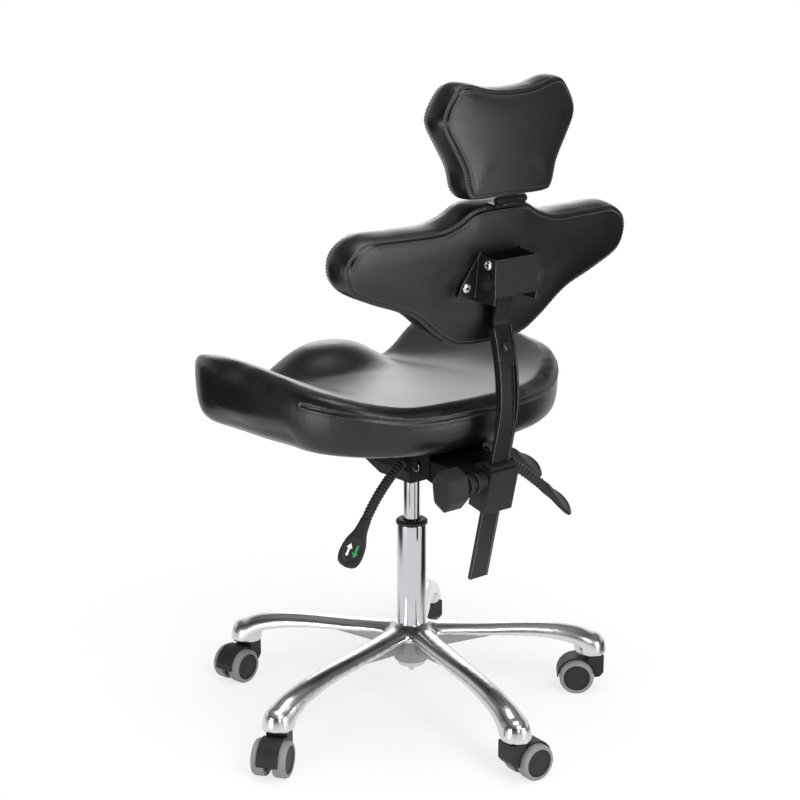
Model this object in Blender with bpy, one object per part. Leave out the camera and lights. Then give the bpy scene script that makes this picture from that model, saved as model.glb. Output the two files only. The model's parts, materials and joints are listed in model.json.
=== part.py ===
"""Work stool: a saddle seat, a winged back pad and a headrest on a five-arm castor base.

The sitter faces -Y, +X is the sitter's left, and the gas column stands on the Z axis at x = y = 0,
with the floor at z = 0. All sizes are in metres and all angles in degrees. Each moving piece hangs
on an empty that lies on its joint's axis.
"""

import math

import bmesh
import bpy
import numpy as np
from mathutils import Matrix, Vector

# Gaps between pieces that touch
CLEAR = 0.0003
CUT_PAST = 0.010

# Castors
WHEEL_RADIUS = 0.030
WHEEL_WIDTH = 0.0225
TYRE_DEPTH = 0.007
WHEEL_EDGE = 0.0016
AXLE_RADIUS = 0.004
AXLE_SHARE = 0.7
DISH_DEPTH = 0.002
WEB_WIDTH = 0.013
HOOD_GAP = 0.0015
HOOD_WALL = 0.0025
HOOD_WIDTH = 0.036
NECK_FRONT = 0.006
NECK_INSET = 0.001
HEEL_HIGH = 0.038
HEEL_LOW = 0.030
HEEL_CUT = 0.006
CASTER_TRAIL = 0.026
CASTER_STEM_RADIUS = 0.0055
CASTER_STEM_LENGTH = 0.030
CASTER_STEM_ROOT = 0.008
CASTER_TRAIL_ANGLES = (35, 176, 318, 275, 12)

# Five-arm base
ARM_COUNT = 5
FIRST_ARM_ANGLE = 8.3
CASTER_CIRCLE = 0.325
SOCKET_RIM = 0.068
SOCKET_RADIUS = 0.0225
SOCKET_HEIGHT = 0.020
ARM_WALL = 0.005
ARM_WIDTH_AT_HUB = 0.050
ARM_WIDTH_AT_WAIST = 0.038
ARM_WIDTH_AT_SOCKET = 0.043
ARM_TOP_AT_HUB = 0.153
ARM_TOP_AT_SHOULDER = 0.134
ARM_TOP_AT_SOCKET = 0.114
ARM_SHOULDER_SHARE = 0.80
ARM_WAIST_SHARE = 0.55
ARM_DEPTH_AT_HUB = 0.046
ARM_DEPTH_AT_WAIST = 0.024
ARM_DEPTH_AT_SOCKET = 0.040
HUB_COVER = 0.003
HUB_BOSS_RADIUS = 0.031
HUB_TOP = 0.157
HUB_BOTTOM = 0.088
HUB_EDGE = 0.004

# Gas column
TUBE_RADIUS = 0.025
TUBE_WALL = 0.0025
TUBE_TOP = 0.334
TUBE_BOTTOM = 0.080
TUBE_FLOOR = 0.004
TUBE_TAPER = 0.0015
TUBE_TAPER_HEIGHT = 0.030
COLLAR_RIM = 0.008
COLLAR_FLANGE = 0.002
COLLAR_REACH = 0.060
CYLINDER_RADIUS = 0.014
CYLINDER_BOTTOM = 0.158
CYLINDER_TOP = 0.456
CYLINDER_BORE_TOP = 0.405
CONE_TAPER = 0.001
ROD_RADIUS = 0.005
ROD_BOTTOM = 0.067
ROD_TOP = 0.305
CLIP_RADIUS = 0.013
CLIP_THICKNESS = 0.004

# Seat mechanism
HOUSING_BOTTOM = 0.418
HOUSING_TOP = 0.482
HOUSING_FRONT = -0.078
HOUSING_REAR = 0.050
HOUSING_WIDTH = 0.096
HOUSING_TAPER = 0.016
PLATE_TOP = 0.5005
PLATE_THICKNESS = 0.003
PLATE_WIDTH = 0.180
PLATE_FRONT = -0.130
PLATE_REAR = 0.112
FLANGE_WIDTH = 0.120
FLANGE_BOTTOM = 0.450
FLANGE_FRONT = -0.085
PIN_RADIUS = 0.005
PIN_HEAD_RADIUS = 0.008
PIN_HEAD_THICKNESS = 0.004
TILT_PIN_Y = -0.050
TILT_PIN_Z = 0.468
RECLINE_PIN_Y = 0.085
RECLINE_PIN_Z = 0.466
ARM_PLATE = 0.004
ARM_EYE_RADIUS = 0.015
ARM_REAR_HALF_HEIGHT = 0.026

# Socket and clamp of the back stem
SOCKET_Y = 0.204
SOCKET_Z = 0.450
STEM_LEAN = 13.0
BOX_WIDTH = 0.060
BOX_FRONT = 0.022
BOX_REAR = 0.018
BOX_HALF_HEIGHT = 0.037
LINER_WALL = 0.002
LINER_RIM = 0.006
LINER_RIM_HEIGHT = 0.006
BOSS_RADIUS = 0.0135
BOSS_LENGTH = 0.053
STUD_RADIUS = 0.004
KNOB_RISE = 0.016
KNOB_RADIUS = 0.034
KNOB_FLATS = 6
KNOB_CORNER = 9.0
KNOB_TURN = 40.0
KNOB_THICKNESS = 0.028
KNOB_EDGE = 0.005

# Back stem and the strap on top of it
STEM_WIDTH = 0.038
STEM_WEB = 0.0065
LIP_THICKNESS = 0.003
LIP_LOW = 0.0005
LIP_HIGH = 0.0075
STEM_BELOW = 0.169
STEM_ABOVE = 0.060
BEND_RADIUS = 0.372
BEND_ANGLE = 31.5
STRAP_THICKNESS = 0.005
STRAP_OVERLAP_ANGLE = 9.5
STRAP_BEND_RADIUS = 0.030
STRAP_RISE = 0.074
BARREL_RADIUS = 0.0095
STRAP_BOLT_RADIUS = 0.009
STRAP_BOLT_HEIGHT = 0.005

# Back bracket
BRACKET_WIDTH = 0.090
BRACKET_SHEET = 0.003
BRACKET_DEPTH_LOW = 0.0215
BRACKET_DEPTH_HIGH = 0.0150
BRACKET_ABOVE = 0.029
BRACKET_BELOW = 0.029
CHEEK_DROP = 0.012
CHEEK_SLOPE = 0.0045
EAR_REACH = 0.035
EAR_RISE = 0.004
EAR_TIP_LOW = 0.006
EAR_TIP_HIGH = 0.020
SCREW_RADIUS = 0.0075
SCREW_HEIGHT = 0.0035
EAR_SCREW_OUT = 0.020
EAR_SCREW_DROP = 0.022
CHEEK_SCREW_RISE = 0.018

# Back pad
BACK_LEAN = 7.0
BOLT_TO_PANEL = 0.026
PANEL_BELOW_BOLT = 0.0133
BOARD_THICKNESS = 0.012
BACK_THICKNESS = 0.058
BACK_CURVE = 0.03
BACK_HALF_OUTLINE = (
    (0.000, 0.119), (0.052, 0.115), (0.086, 0.098), (0.125, 0.088), (0.190, 0.088), (0.256, 0.086),
    (0.293, 0.056), (0.286, 0.008), (0.232, -0.020), (0.165, -0.046), (0.114, -0.084),
    (0.070, -0.108), (0.000, -0.113),
)

# Headrest
HINGE_ABOVE_BOLT = 0.113
HINGE_BEHIND_BOARD = 0.019
HINGE_JOGGLE = 0.004
HINGE_RADIUS = 0.006
HINGE_WIDTH = 0.060
HINGE_KNUCKLE = 0.028
HINGE_LEAF = 0.004
HINGE_LEAF_LENGTH = 0.046
HINGE_PIN_RADIUS = 0.003
HEAD_THICKNESS = 0.052
HEAD_CURVE = 0.03
HEAD_PANEL_BEHIND_HINGE = 0.008
HEAD_HALF_OUTLINE = (
    (0.000, 0.170), (0.045, 0.173), (0.086, 0.182), (0.107, 0.181), (0.129, 0.151), (0.142, 0.125),
    (0.120, 0.083), (0.100, 0.050), (0.088, 0.012), (0.072, 0.004), (0.000, 0.004),
)

# Seat
SEAT_BOARD_THICKNESS = 0.012
SEAT_TOP = 0.576
SEAT_UNDERCUT = 0.14
WING_RISE = 0.058
WING_INNER = 0.110
WING_REAR_SHARE = 0.55
WING_REAR_Y = 0.18
WING_FRONT_Y = -0.20
POMMEL_RISE = 0.044
POMMEL_WIDTH = 0.095
POMMEL_LENGTH = 0.075
POMMEL_Y = -0.225
CHANNEL_DROP = 0.014
CHANNEL_X = 0.15
CHANNEL_WIDTH = 0.05
CHANNEL_FRONT_Y = -0.24
SEAT_HALF_OUTLINE = (
    (0.000, 0.187), (0.105, 0.177), (0.198, 0.138), (0.256, 0.072), (0.274, -0.020), (0.284, -0.120),
    (0.284, -0.205), (0.245, -0.262), (0.160, -0.270), (0.080, -0.285), (0.000, -0.290),
)

# Levers
LEVER_ROOT_RADIUS = 0.0100
LEVER_ROD_RADIUS = 0.0070
LEVER_RIB = 0.0018
LEVER_RIBS = 13
LEVER_ROOT_Z = 0.470
TILT_LEVER_Y = 0.060
TILT_LEVER_PATH = ((0.0, 0.0), (0.047, -0.032), (0.077, -0.081))
LIFT_LEVER_Y = 0.020
LIFT_LEVER_PATH = ((0.0, 0.0), (0.082, -0.010), (0.142, -0.050))
RECLINE_LEVER_Y = 0.105
RECLINE_LEVER_PATH = ((0.0, 0.0), (0.068, -0.030), (0.138, -0.090))
PADDLE_LENGTH = 0.084
PADDLE_WIDTH = 0.040
PADDLE_THICKNESS = 0.010
PADDLE_TWIST = 42.0

# Facets
ROUND_SIDES = 24
WHEEL_SIDES = 20
SMALL_SIDES = 12
OUTLINE_POINTS = 48


def start_clean():
    """Remove every object of the scene."""
    for obj in list(bpy.data.objects):
        bpy.data.objects.remove(obj, do_unlink=True)


def finish(name, colour, roughness, metallic):
    """One Principled material, made the first time that it is asked for."""
    material = bpy.data.materials.get(name)
    if material is None:
        material = bpy.data.materials.new(name)
        material.use_nodes = True
        shader = material.node_tree.nodes["Principled BSDF"]
        shader.inputs["Base Color"].default_value = (*colour, 1.0)
        shader.inputs["Roughness"].default_value = roughness
        shader.inputs["Metallic"].default_value = metallic
    return material


def cast_aluminium():
    return finish("cast_aluminium", (0.72, 0.73, 0.75), 0.22, 1.0)


def chrome():
    return finish("chrome", (0.80, 0.81, 0.83), 0.10, 1.0)


def black_steel():
    return finish("black_steel", (0.022, 0.022, 0.024), 0.42, 0.0)


def black_plastic():
    return finish("black_plastic", (0.030, 0.030, 0.032), 0.50, 0.0)


def leatherette():
    return finish("black_leatherette", (0.012, 0.012, 0.013), 0.34, 0.0)


def plywood():
    return finish("plywood", (0.50, 0.36, 0.22), 0.70, 0.0)


def grey_tyre():
    return finish("grey_tyre", (0.30, 0.31, 0.32), 0.55, 0.0)


def empty(name, parent=None, location=(0, 0, 0), lean=0.0, turn=0.0):
    """A joint's frame: turned about Z, or leaning back about X, where it stands."""
    joint = bpy.data.objects.new(name, None)
    joint.location = location
    joint.rotation_euler = (math.radians(-lean), 0.0, math.radians(turn))
    joint.parent = parent
    joint.empty_display_size = 0.05
    bpy.context.scene.collection.objects.link(joint)
    return joint


def piece(name, mesh, material, joint=None):
    """A named sub-part hung on its joint's frame."""
    mesh.materials.clear()
    mesh.materials.append(material)
    obj = bpy.data.objects.new(name, mesh)
    obj.parent = joint
    bpy.context.scene.collection.objects.link(obj)
    return obj


def solid(name, points, faces):
    """A closed mesh with its faces pointing out and its soft edges shaded smooth."""
    mesh = bpy.data.meshes.new(name)
    mesh.from_pydata([tuple(p) for p in points], [], faces)
    shape = bmesh.new()
    shape.from_mesh(mesh)
    bmesh.ops.recalc_face_normals(shape, faces=shape.faces)
    shape.to_mesh(mesh)
    shape.free()
    mesh.shade_smooth()
    mesh.set_sharp_from_angle(angle=math.radians(35))
    return mesh


def loft(name, rings, poles=(None, None)):
    """A skin over rings with equally many points, closed by a cap or a pole point at each end."""
    count = len(rings[0])
    points = [p for ring in rings for p in ring]
    faces = []
    for row in range(len(rings) - 1):
        a, b = row * count, (row + 1) * count
        faces += [(a + i, a + (i + 1) % count, b + (i + 1) % count, b + i) for i in range(count)]
    for pole, first in zip(poles, (0, (len(rings) - 1) * count)):
        if pole is None:
            faces.append(tuple(range(first, first + count)))
        else:
            points.append(pole)
            tip = len(points) - 1
            faces += [(first + i, first + (i + 1) % count, tip) for i in range(count)]
    return solid(name, points, faces)


AXES = {"X": lambda r, a, h: (h, r * math.cos(a), r * math.sin(a)),
        "Y": lambda r, a, h: (r * math.cos(a), h, r * math.sin(a)),
        "Z": lambda r, a, h: (r * math.cos(a), r * math.sin(a), h)}


def turned(name, profile, sides, axis="Z"):
    """A profile of (radius, height) points turned round an axis. A radius of 0 makes a pole, and a
    profile with no such point is a closed loop round the axis."""
    place = AXES[axis]
    angles = [math.tau * (i + 0.5) / sides for i in range(sides)]
    rings = [[place(r, a, h) for a in angles] for r, h in profile if r > 0]
    if profile[0][0] == 0:
        return loft(name, rings, (place(0, 0, profile[0][1]), place(0, 0, profile[-1][1])))
    points = [p for ring in rings for p in ring]
    faces = []
    for row in range(len(rings)):
        a, b = row * sides, (row + 1) % len(rings) * sides
        faces += [(a + i, a + (i + 1) % sides, b + (i + 1) % sides, b + i) for i in range(sides)]
    return solid(name, points, faces)


def rod(name, radius, low, high, sides=SMALL_SIDES, axis="Z"):
    """A plain round bar."""
    return turned(name, [(0, low), (radius, low), (radius, high), (0, high)], sides, axis)


def extruded(name, outline, low, high, axis="X"):
    """A flat outline given its thickness along an axis. X takes (y, z) and Y takes (x, z)."""
    if axis == "X":
        return loft(name, [[(h, u, v) for u, v in outline] for h in (low, high)])
    return loft(name, [[(u, h, v) for u, v in outline] for h in (low, high)])


def box(name, low, high):
    """A block between two corners."""
    corners = [(low[1], low[2]), (high[1], low[2]), (high[1], high[2]), (low[1], high[2])]
    return extruded(name, corners, low[0], high[0])


def placed(mesh, matrix):
    """The mesh moved by a matrix."""
    mesh.transform(matrix)
    return mesh


def combine(mesh, tools, operation):
    """The mesh after a Boolean with each of the tools in turn."""
    target = bpy.data.objects.new("target", mesh)
    bpy.context.scene.collection.objects.link(target)
    helpers = []
    for tool in tools:
        helper = bpy.data.objects.new("tool", tool)
        helper.hide_render = True
        helper.display_type = "WIRE"
        bpy.context.scene.collection.objects.link(helper)
        helpers.append(helper)
        modifier = target.modifiers.new(operation.lower(), "BOOLEAN")
        modifier.operation = operation
        modifier.solver = "EXACT"
        modifier.object = helper
    graph = bpy.context.evaluated_depsgraph_get()
    result = bpy.data.meshes.new_from_object(target.evaluated_get(graph))
    for obj in [target, *helpers]:
        bpy.data.objects.remove(obj, do_unlink=True)
    result.shade_smooth()
    result.set_sharp_from_angle(angle=math.radians(35))
    return result


def union(mesh, *tools):
    return combine(mesh, tools, "UNION")


def cut(mesh, *tools):
    return combine(mesh, tools, "DIFFERENCE")


def arc(centre, radius, start, end, steps):
    """Points of (u, v) along a circle between two angles in degrees."""
    angles = np.radians(np.linspace(start, end, steps))
    return [(centre[0] + radius * math.cos(a), centre[1] + radius * math.sin(a)) for a in angles]


def smooth(low, high, value):
    """A soft step from 0 at low to 1 at high."""
    t = np.clip((value - low) / (high - low), 0.0, 1.0)
    return t * t * (3.0 - 2.0 * t)


def closed_outline(half, count):
    """A smooth closed curve through a half outline and its mirror image, as (count, 2) points."""
    half = np.array(half)
    ring = np.vstack([half, half[-2:0:-1] * (-1.0, 1.0)])
    before, after, later = np.roll(ring, 1, 0), np.roll(ring, -1, 0), np.roll(ring, -2, 0)
    t = np.linspace(0.0, 1.0, 12, endpoint=False)[None, :, None]
    a, b, c, d = (p[:, None, :] for p in (before, ring, after, later))
    curve = 0.5 * (2 * b + (c - a) * t + (2 * a - 5 * b + 4 * c - d) * t**2
                   + (3 * b - a - 3 * c + d) * t**3)
    curve = curve.reshape(-1, 2)
    loop = np.vstack([curve, curve[:1]])
    along = np.concatenate([[0.0], np.cumsum(np.linalg.norm(np.diff(loop, axis=0), axis=1))])
    even = np.linspace(0.0, along[-1], count, endpoint=False)
    return np.column_stack([np.interp(even, along, loop[:, i]) for i in range(2)])


def shell(name, outline, stations, bow=0.0):
    """An upright pad from (share of the outline, depth) stations, its sides bowed forward."""
    def ring(share, depth):
        x, s = outline[:, 0] * share, outline[:, 1] * share
        return np.column_stack([x, depth - bow * x * x, s])

    ends = [(0.0, stations[i][1], 0.0) for i in (0, -1)]
    return loft(name, [ring(*station) for station in stations[1:-1]], ends)


def base_star():
    """The cast five-arm base: open-bottomed arms, castor sockets at their ends and a bored, stepped hub."""
    def arm_section(r):
        t = r / CASTER_CIRCLE
        shares = (0.0, ARM_WAIST_SHARE, 1.0)
        width = np.interp(t, shares, (ARM_WIDTH_AT_HUB, ARM_WIDTH_AT_WAIST, ARM_WIDTH_AT_SOCKET))
        depth = np.interp(t, shares, (ARM_DEPTH_AT_HUB, ARM_DEPTH_AT_WAIST, ARM_DEPTH_AT_SOCKET))
        top = np.interp(t, (0.0, ARM_SHOULDER_SHARE), (ARM_TOP_AT_HUB, ARM_TOP_AT_SHOULDER))
        top -= (ARM_TOP_AT_SHOULDER - ARM_TOP_AT_SOCKET) * float(smooth(ARM_SHOULDER_SHARE - 0.1, 1.05, t))
        arch = np.radians(np.linspace(0.0, 180.0, 9))
        outer = [(r, math.copysign(abs(math.cos(a)) ** 0.7, math.cos(a)) * width / 2,
                  top - depth * (1 - math.sin(a) ** 0.7)) for a in arch]
        inner = [(r, y * (1 - 2 * ARM_WALL / width), z - ARM_WALL * math.sin(a))
                 for (_, y, z), a in zip(outer, arch)]
        return outer + inner[::-1]

    crossing = ARM_WIDTH_AT_HUB / 2 / math.sin(math.pi / ARM_COUNT)
    hub_radius = crossing + HUB_COVER
    start = 0.74 * hub_radius
    reach = start + (CASTER_CIRCLE - start) * np.array((0.0, 0.12, 0.29, 0.47, 0.62, 0.76, 0.86, 0.93, 1.0))
    dome = SOCKET_RIM + SOCKET_HEIGHT
    lift = ARM_TOP_AT_SOCKET - dome
    profile = [(0, SOCKET_RIM), (SOCKET_RADIUS, SOCKET_RIM)]
    profile += [(SOCKET_RADIUS * math.cos(a), dome + lift * math.sin(a)) for a in np.radians((0, 30, 60))]
    profile += [(0, ARM_TOP_AT_SOCKET)]
    hole_top = SOCKET_RIM + CASTER_STEM_LENGTH + CLEAR
    parts = []
    holes = []
    for index in range(ARM_COUNT):
        spin = Matrix.Rotation(math.radians(FIRST_ARM_ANGLE + 360.0 / ARM_COUNT * index), 4, "Z")
        end = spin @ Matrix.Translation((CASTER_CIRCLE, 0, 0))
        parts.append(placed(loft("arm", [arm_section(r) for r in reach]), spin))
        parts.append(placed(turned("socket", profile, ROUND_SIDES), end))
        hole = rod("hole", CASTER_STEM_RADIUS + CLEAR, SOCKET_RIM - SOCKET_HEIGHT, hole_top)
        holes.append(placed(hole, end))
    skirt = ARM_TOP_AT_HUB - ARM_DEPTH_AT_HUB
    hub = turned("hub", [
        (0, HUB_BOTTOM), (HUB_BOSS_RADIUS - HUB_EDGE, HUB_BOTTOM), (HUB_BOSS_RADIUS, HUB_BOTTOM + HUB_EDGE),
        (HUB_BOSS_RADIUS, skirt), (hub_radius, skirt), (hub_radius, HUB_TOP - HUB_EDGE),
        (hub_radius - HUB_EDGE, HUB_TOP), (0, HUB_TOP)], ROUND_SIDES)
    bore = rod("bore", TUBE_RADIUS + CLEAR, HUB_BOTTOM - CUT_PAST, HUB_TOP + CUT_PAST, ROUND_SIDES)
    piece("base_star", cut(union(hub, *parts), bore, *holes), cast_aluminium())


def caster_body_mesh():
    """The castor's hood over its wheels, the web between them, the axle and the stem, in one."""
    axle = (CASTER_TRAIL, WHEEL_RADIUS)
    inner = WHEEL_RADIUS + HOOD_GAP
    outer = inner + HOOD_WALL
    top = SOCKET_RIM - CLEAR
    back = NECK_INSET - SOCKET_RADIUS
    meet = math.degrees(math.acos((NECK_FRONT - CASTER_TRAIL) / outer))
    side = arc(axle, outer, -4, meet, 8) + [(NECK_FRONT, top), (back, top), (back, HEEL_HIGH),
                                            (back + HEEL_CUT, HEEL_LOW)]
    side += arc(axle, inner, 184, -4, 14)
    hood = extruded("hood", side, -HOOD_WIDTH / 2, HOOD_WIDTH / 2, "Y")
    disc = arc(axle, inner + HOOD_WALL / 2, 0, 180, 9) + arc(axle, inner * 0.62, 205, 335, 6)
    web = extruded("web", disc, -WEB_WIDTH / 2, WEB_WIDTH / 2, "Y")
    reach = WEB_WIDTH / 2 + WHEEL_WIDTH * AXLE_SHARE
    pin = placed(rod("pin", AXLE_RADIUS, -reach, reach, SMALL_SIDES, "Y"),
                 Matrix.Translation((CASTER_TRAIL, 0, WHEEL_RADIUS)))
    stem = rod("stem", CASTER_STEM_RADIUS, top - CASTER_STEM_ROOT, SOCKET_RIM + CASTER_STEM_LENGTH)
    return union(hood, web, pin, stem)


def wheel_meshes():
    """A wheel's core and its tyre, turned round the axle from the inner face outwards along +Y."""
    inside, outside = WEB_WIDTH / 2 + CLEAR, WEB_WIDTH / 2 + WHEEL_WIDTH
    rim = WHEEL_RADIUS - TYRE_DEPTH
    bore = AXLE_RADIUS + CLEAR
    floor = WEB_WIDTH / 2 + WHEEL_WIDTH * AXLE_SHARE + CLEAR
    dish = outside - DISH_DEPTH
    core = turned("core", [(0, floor), (bore, floor), (bore, inside), (rim, inside), (rim, outside),
                           (rim * 0.84, outside), (rim * 0.76, dish), (0, dish)], WHEEL_SIDES, "Y")
    hole = rim + CLEAR
    tread = WHEEL_RADIUS / math.cos(math.pi / WHEEL_SIDES)
    tyre = turned("tyre", [(hole, inside), (hole, outside), (tread - WHEEL_EDGE, outside),
                           (tread, outside - WHEEL_EDGE), (tread, inside + WHEEL_EDGE),
                           (tread - WHEEL_EDGE, inside)], WHEEL_SIDES, "Y")
    return core, tyre


def casters():
    """Five castors, each turning on its stem, with two wheels that roll on its axle."""
    body = caster_body_mesh()
    core, tyre = wheel_meshes()
    far_core = placed(core.copy(), Matrix.Rotation(math.pi, 4, "Z"))
    far_tyre = placed(tyre.copy(), Matrix.Rotation(math.pi, 4, "Z"))
    for index in range(ARM_COUNT):
        around = math.radians(FIRST_ARM_ANGLE + 360.0 / ARM_COUNT * index)
        stand = (CASTER_CIRCLE * math.cos(around), CASTER_CIRCLE * math.sin(around), 0)
        name = f"caster_{index + 1}"
        swivel = empty(f"{name}_swivel", location=stand, turn=CASTER_TRAIL_ANGLES[index])
        piece(f"{name}_body", body, black_plastic(), swivel)
        axle = empty(f"{name}_axle", swivel, (CASTER_TRAIL, 0, WHEEL_RADIUS))
        for side, hub_mesh, tyre_mesh in (("a", core, tyre), ("b", far_core, far_tyre)):
            piece(f"{name}_wheel_{side}", hub_mesh, black_plastic(), axle)
            piece(f"{name}_tyre_{side}", tyre_mesh, grey_tyre(), axle)


def gas_column(lift):
    """The outer tube with its bush and collar, the rod held by a clip, and the sliding cylinder."""
    bore = TUBE_RADIUS - TUBE_WALL
    floor = TUBE_BOTTOM + TUBE_FLOOR
    hole = ROD_RADIUS + CLEAR
    piece("column_tube", turned("tube", [
        (hole, TUBE_BOTTOM), (TUBE_RADIUS - TUBE_TAPER, TUBE_BOTTOM),
        (TUBE_RADIUS, TUBE_BOTTOM + TUBE_TAPER_HEIGHT), (TUBE_RADIUS, TUBE_TOP), (bore, TUBE_TOP),
        (bore, floor), (hole, floor)], ROUND_SIDES), chrome())
    seat = TUBE_TOP + CLEAR
    slide = CYLINDER_RADIUS + CLEAR
    sleeve = bore - CLEAR
    piece("column_collar", turned("collar", [
        (slide, seat - COLLAR_REACH), (sleeve, seat - COLLAR_REACH), (sleeve, seat),
        (TUBE_RADIUS + COLLAR_FLANGE, seat), (TUBE_RADIUS + COLLAR_FLANGE, seat + COLLAR_RIM * 0.6),
        (TUBE_RADIUS - COLLAR_FLANGE, seat + COLLAR_RIM), (slide, seat + COLLAR_RIM)], ROUND_SIDES),
        black_plastic())
    piece("piston_rod", rod("piston", ROD_RADIUS, ROD_BOTTOM, ROD_TOP), chrome())
    clip = TUBE_BOTTOM - CLEAR
    piece("column_clip", turned("clip", [
        (hole, clip - CLIP_THICKNESS), (CLIP_RADIUS, clip - CLIP_THICKNESS), (CLIP_RADIUS, clip),
        (hole, clip)], SMALL_SIDES), chrome())
    piece("gas_cylinder", turned("cylinder", [
        (0, CYLINDER_BORE_TOP), (hole, CYLINDER_BORE_TOP), (hole, CYLINDER_BOTTOM),
        (CYLINDER_RADIUS, CYLINDER_BOTTOM), (CYLINDER_RADIUS, HOUSING_BOTTOM),
        (CYLINDER_RADIUS - CONE_TAPER, CYLINDER_TOP), (0, CYLINDER_TOP)], ROUND_SIDES), chrome(), lift)


def cross_hole(y, z, radius, reach):
    """A cutter along X."""
    return placed(rod("hole", radius, -reach, reach, SMALL_SIDES, "X"), Matrix.Translation((0, y, z)))


def cross_pin(name, half_length, joint, material):
    """A headed pin along X through its joint."""
    head = half_length + PIN_HEAD_THICKNESS
    wide = PIN_HEAD_RADIUS
    profile = [(0, -head), (wide, -head), (wide, -half_length), (PIN_RADIUS, -half_length),
               (PIN_RADIUS, half_length), (wide, half_length), (wide, head), (0, head)]
    piece(name, turned(name, profile, SMALL_SIDES, "X"), material, joint)


def mechanism(swivel, tilt):
    """The housing on the cylinder's cone, and the flanged seat plate that tilts on it."""
    half = HOUSING_WIDTH / 2

    def floor_ring(z, inset):
        return [(-half + inset, HOUSING_FRONT + 2 * inset, z), (half - inset, HOUSING_FRONT + 2 * inset, z),
                (half - inset, HOUSING_REAR - inset, z), (-half + inset, HOUSING_REAR - inset, z)]

    middle = HOUSING_BOTTOM + 0.45 * (HOUSING_TOP - HOUSING_BOTTOM)
    housing = loft("housing", [floor_ring(HOUSING_BOTTOM, HOUSING_TAPER), floor_ring(middle, 0),
                               floor_ring(HOUSING_TOP, 0)])
    seat_bore = rod("bore", CYLINDER_RADIUS + CLEAR, HOUSING_BOTTOM - CUT_PAST, CYLINDER_TOP + CLEAR,
                    ROUND_SIDES)
    pin_bore = cross_hole(TILT_PIN_Y, TILT_PIN_Z, PIN_RADIUS + CLEAR, half + CUT_PAST)
    piece("mechanism_housing", cut(housing, seat_bore, pin_bore), black_steel(), swivel)

    away = Matrix.Translation((0, -TILT_PIN_Y, -TILT_PIN_Z))
    under = PLATE_TOP - PLATE_THICKNESS
    outer = FLANGE_WIDTH / 2
    inner = outer - PLATE_THICKNESS
    channel = [(-outer, FLANGE_BOTTOM), (-inner, FLANGE_BOTTOM), (-inner, under), (inner, under),
               (inner, FLANGE_BOTTOM), (outer, FLANGE_BOTTOM), (outer, PLATE_TOP), (-outer, PLATE_TOP)]
    flanged = extruded("channel", channel, FLANGE_FRONT, PLATE_REAR, "Y")
    wide = box("plate", (-PLATE_WIDTH / 2, PLATE_FRONT, under),
               (PLATE_WIDTH / 2, PLATE_REAR - 2 * PLATE_THICKNESS, PLATE_TOP))
    holes = [cross_hole(y, z, PIN_RADIUS + CLEAR, outer + CUT_PAST)
             for y, z in ((TILT_PIN_Y, TILT_PIN_Z), (RECLINE_PIN_Y, RECLINE_PIN_Z))]
    piece("seat_plate", placed(cut(union(flanged, wide), *holes), away), black_steel(), tilt)
    cross_pin("tilt_pin", outer + CLEAR, tilt, chrome())


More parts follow.
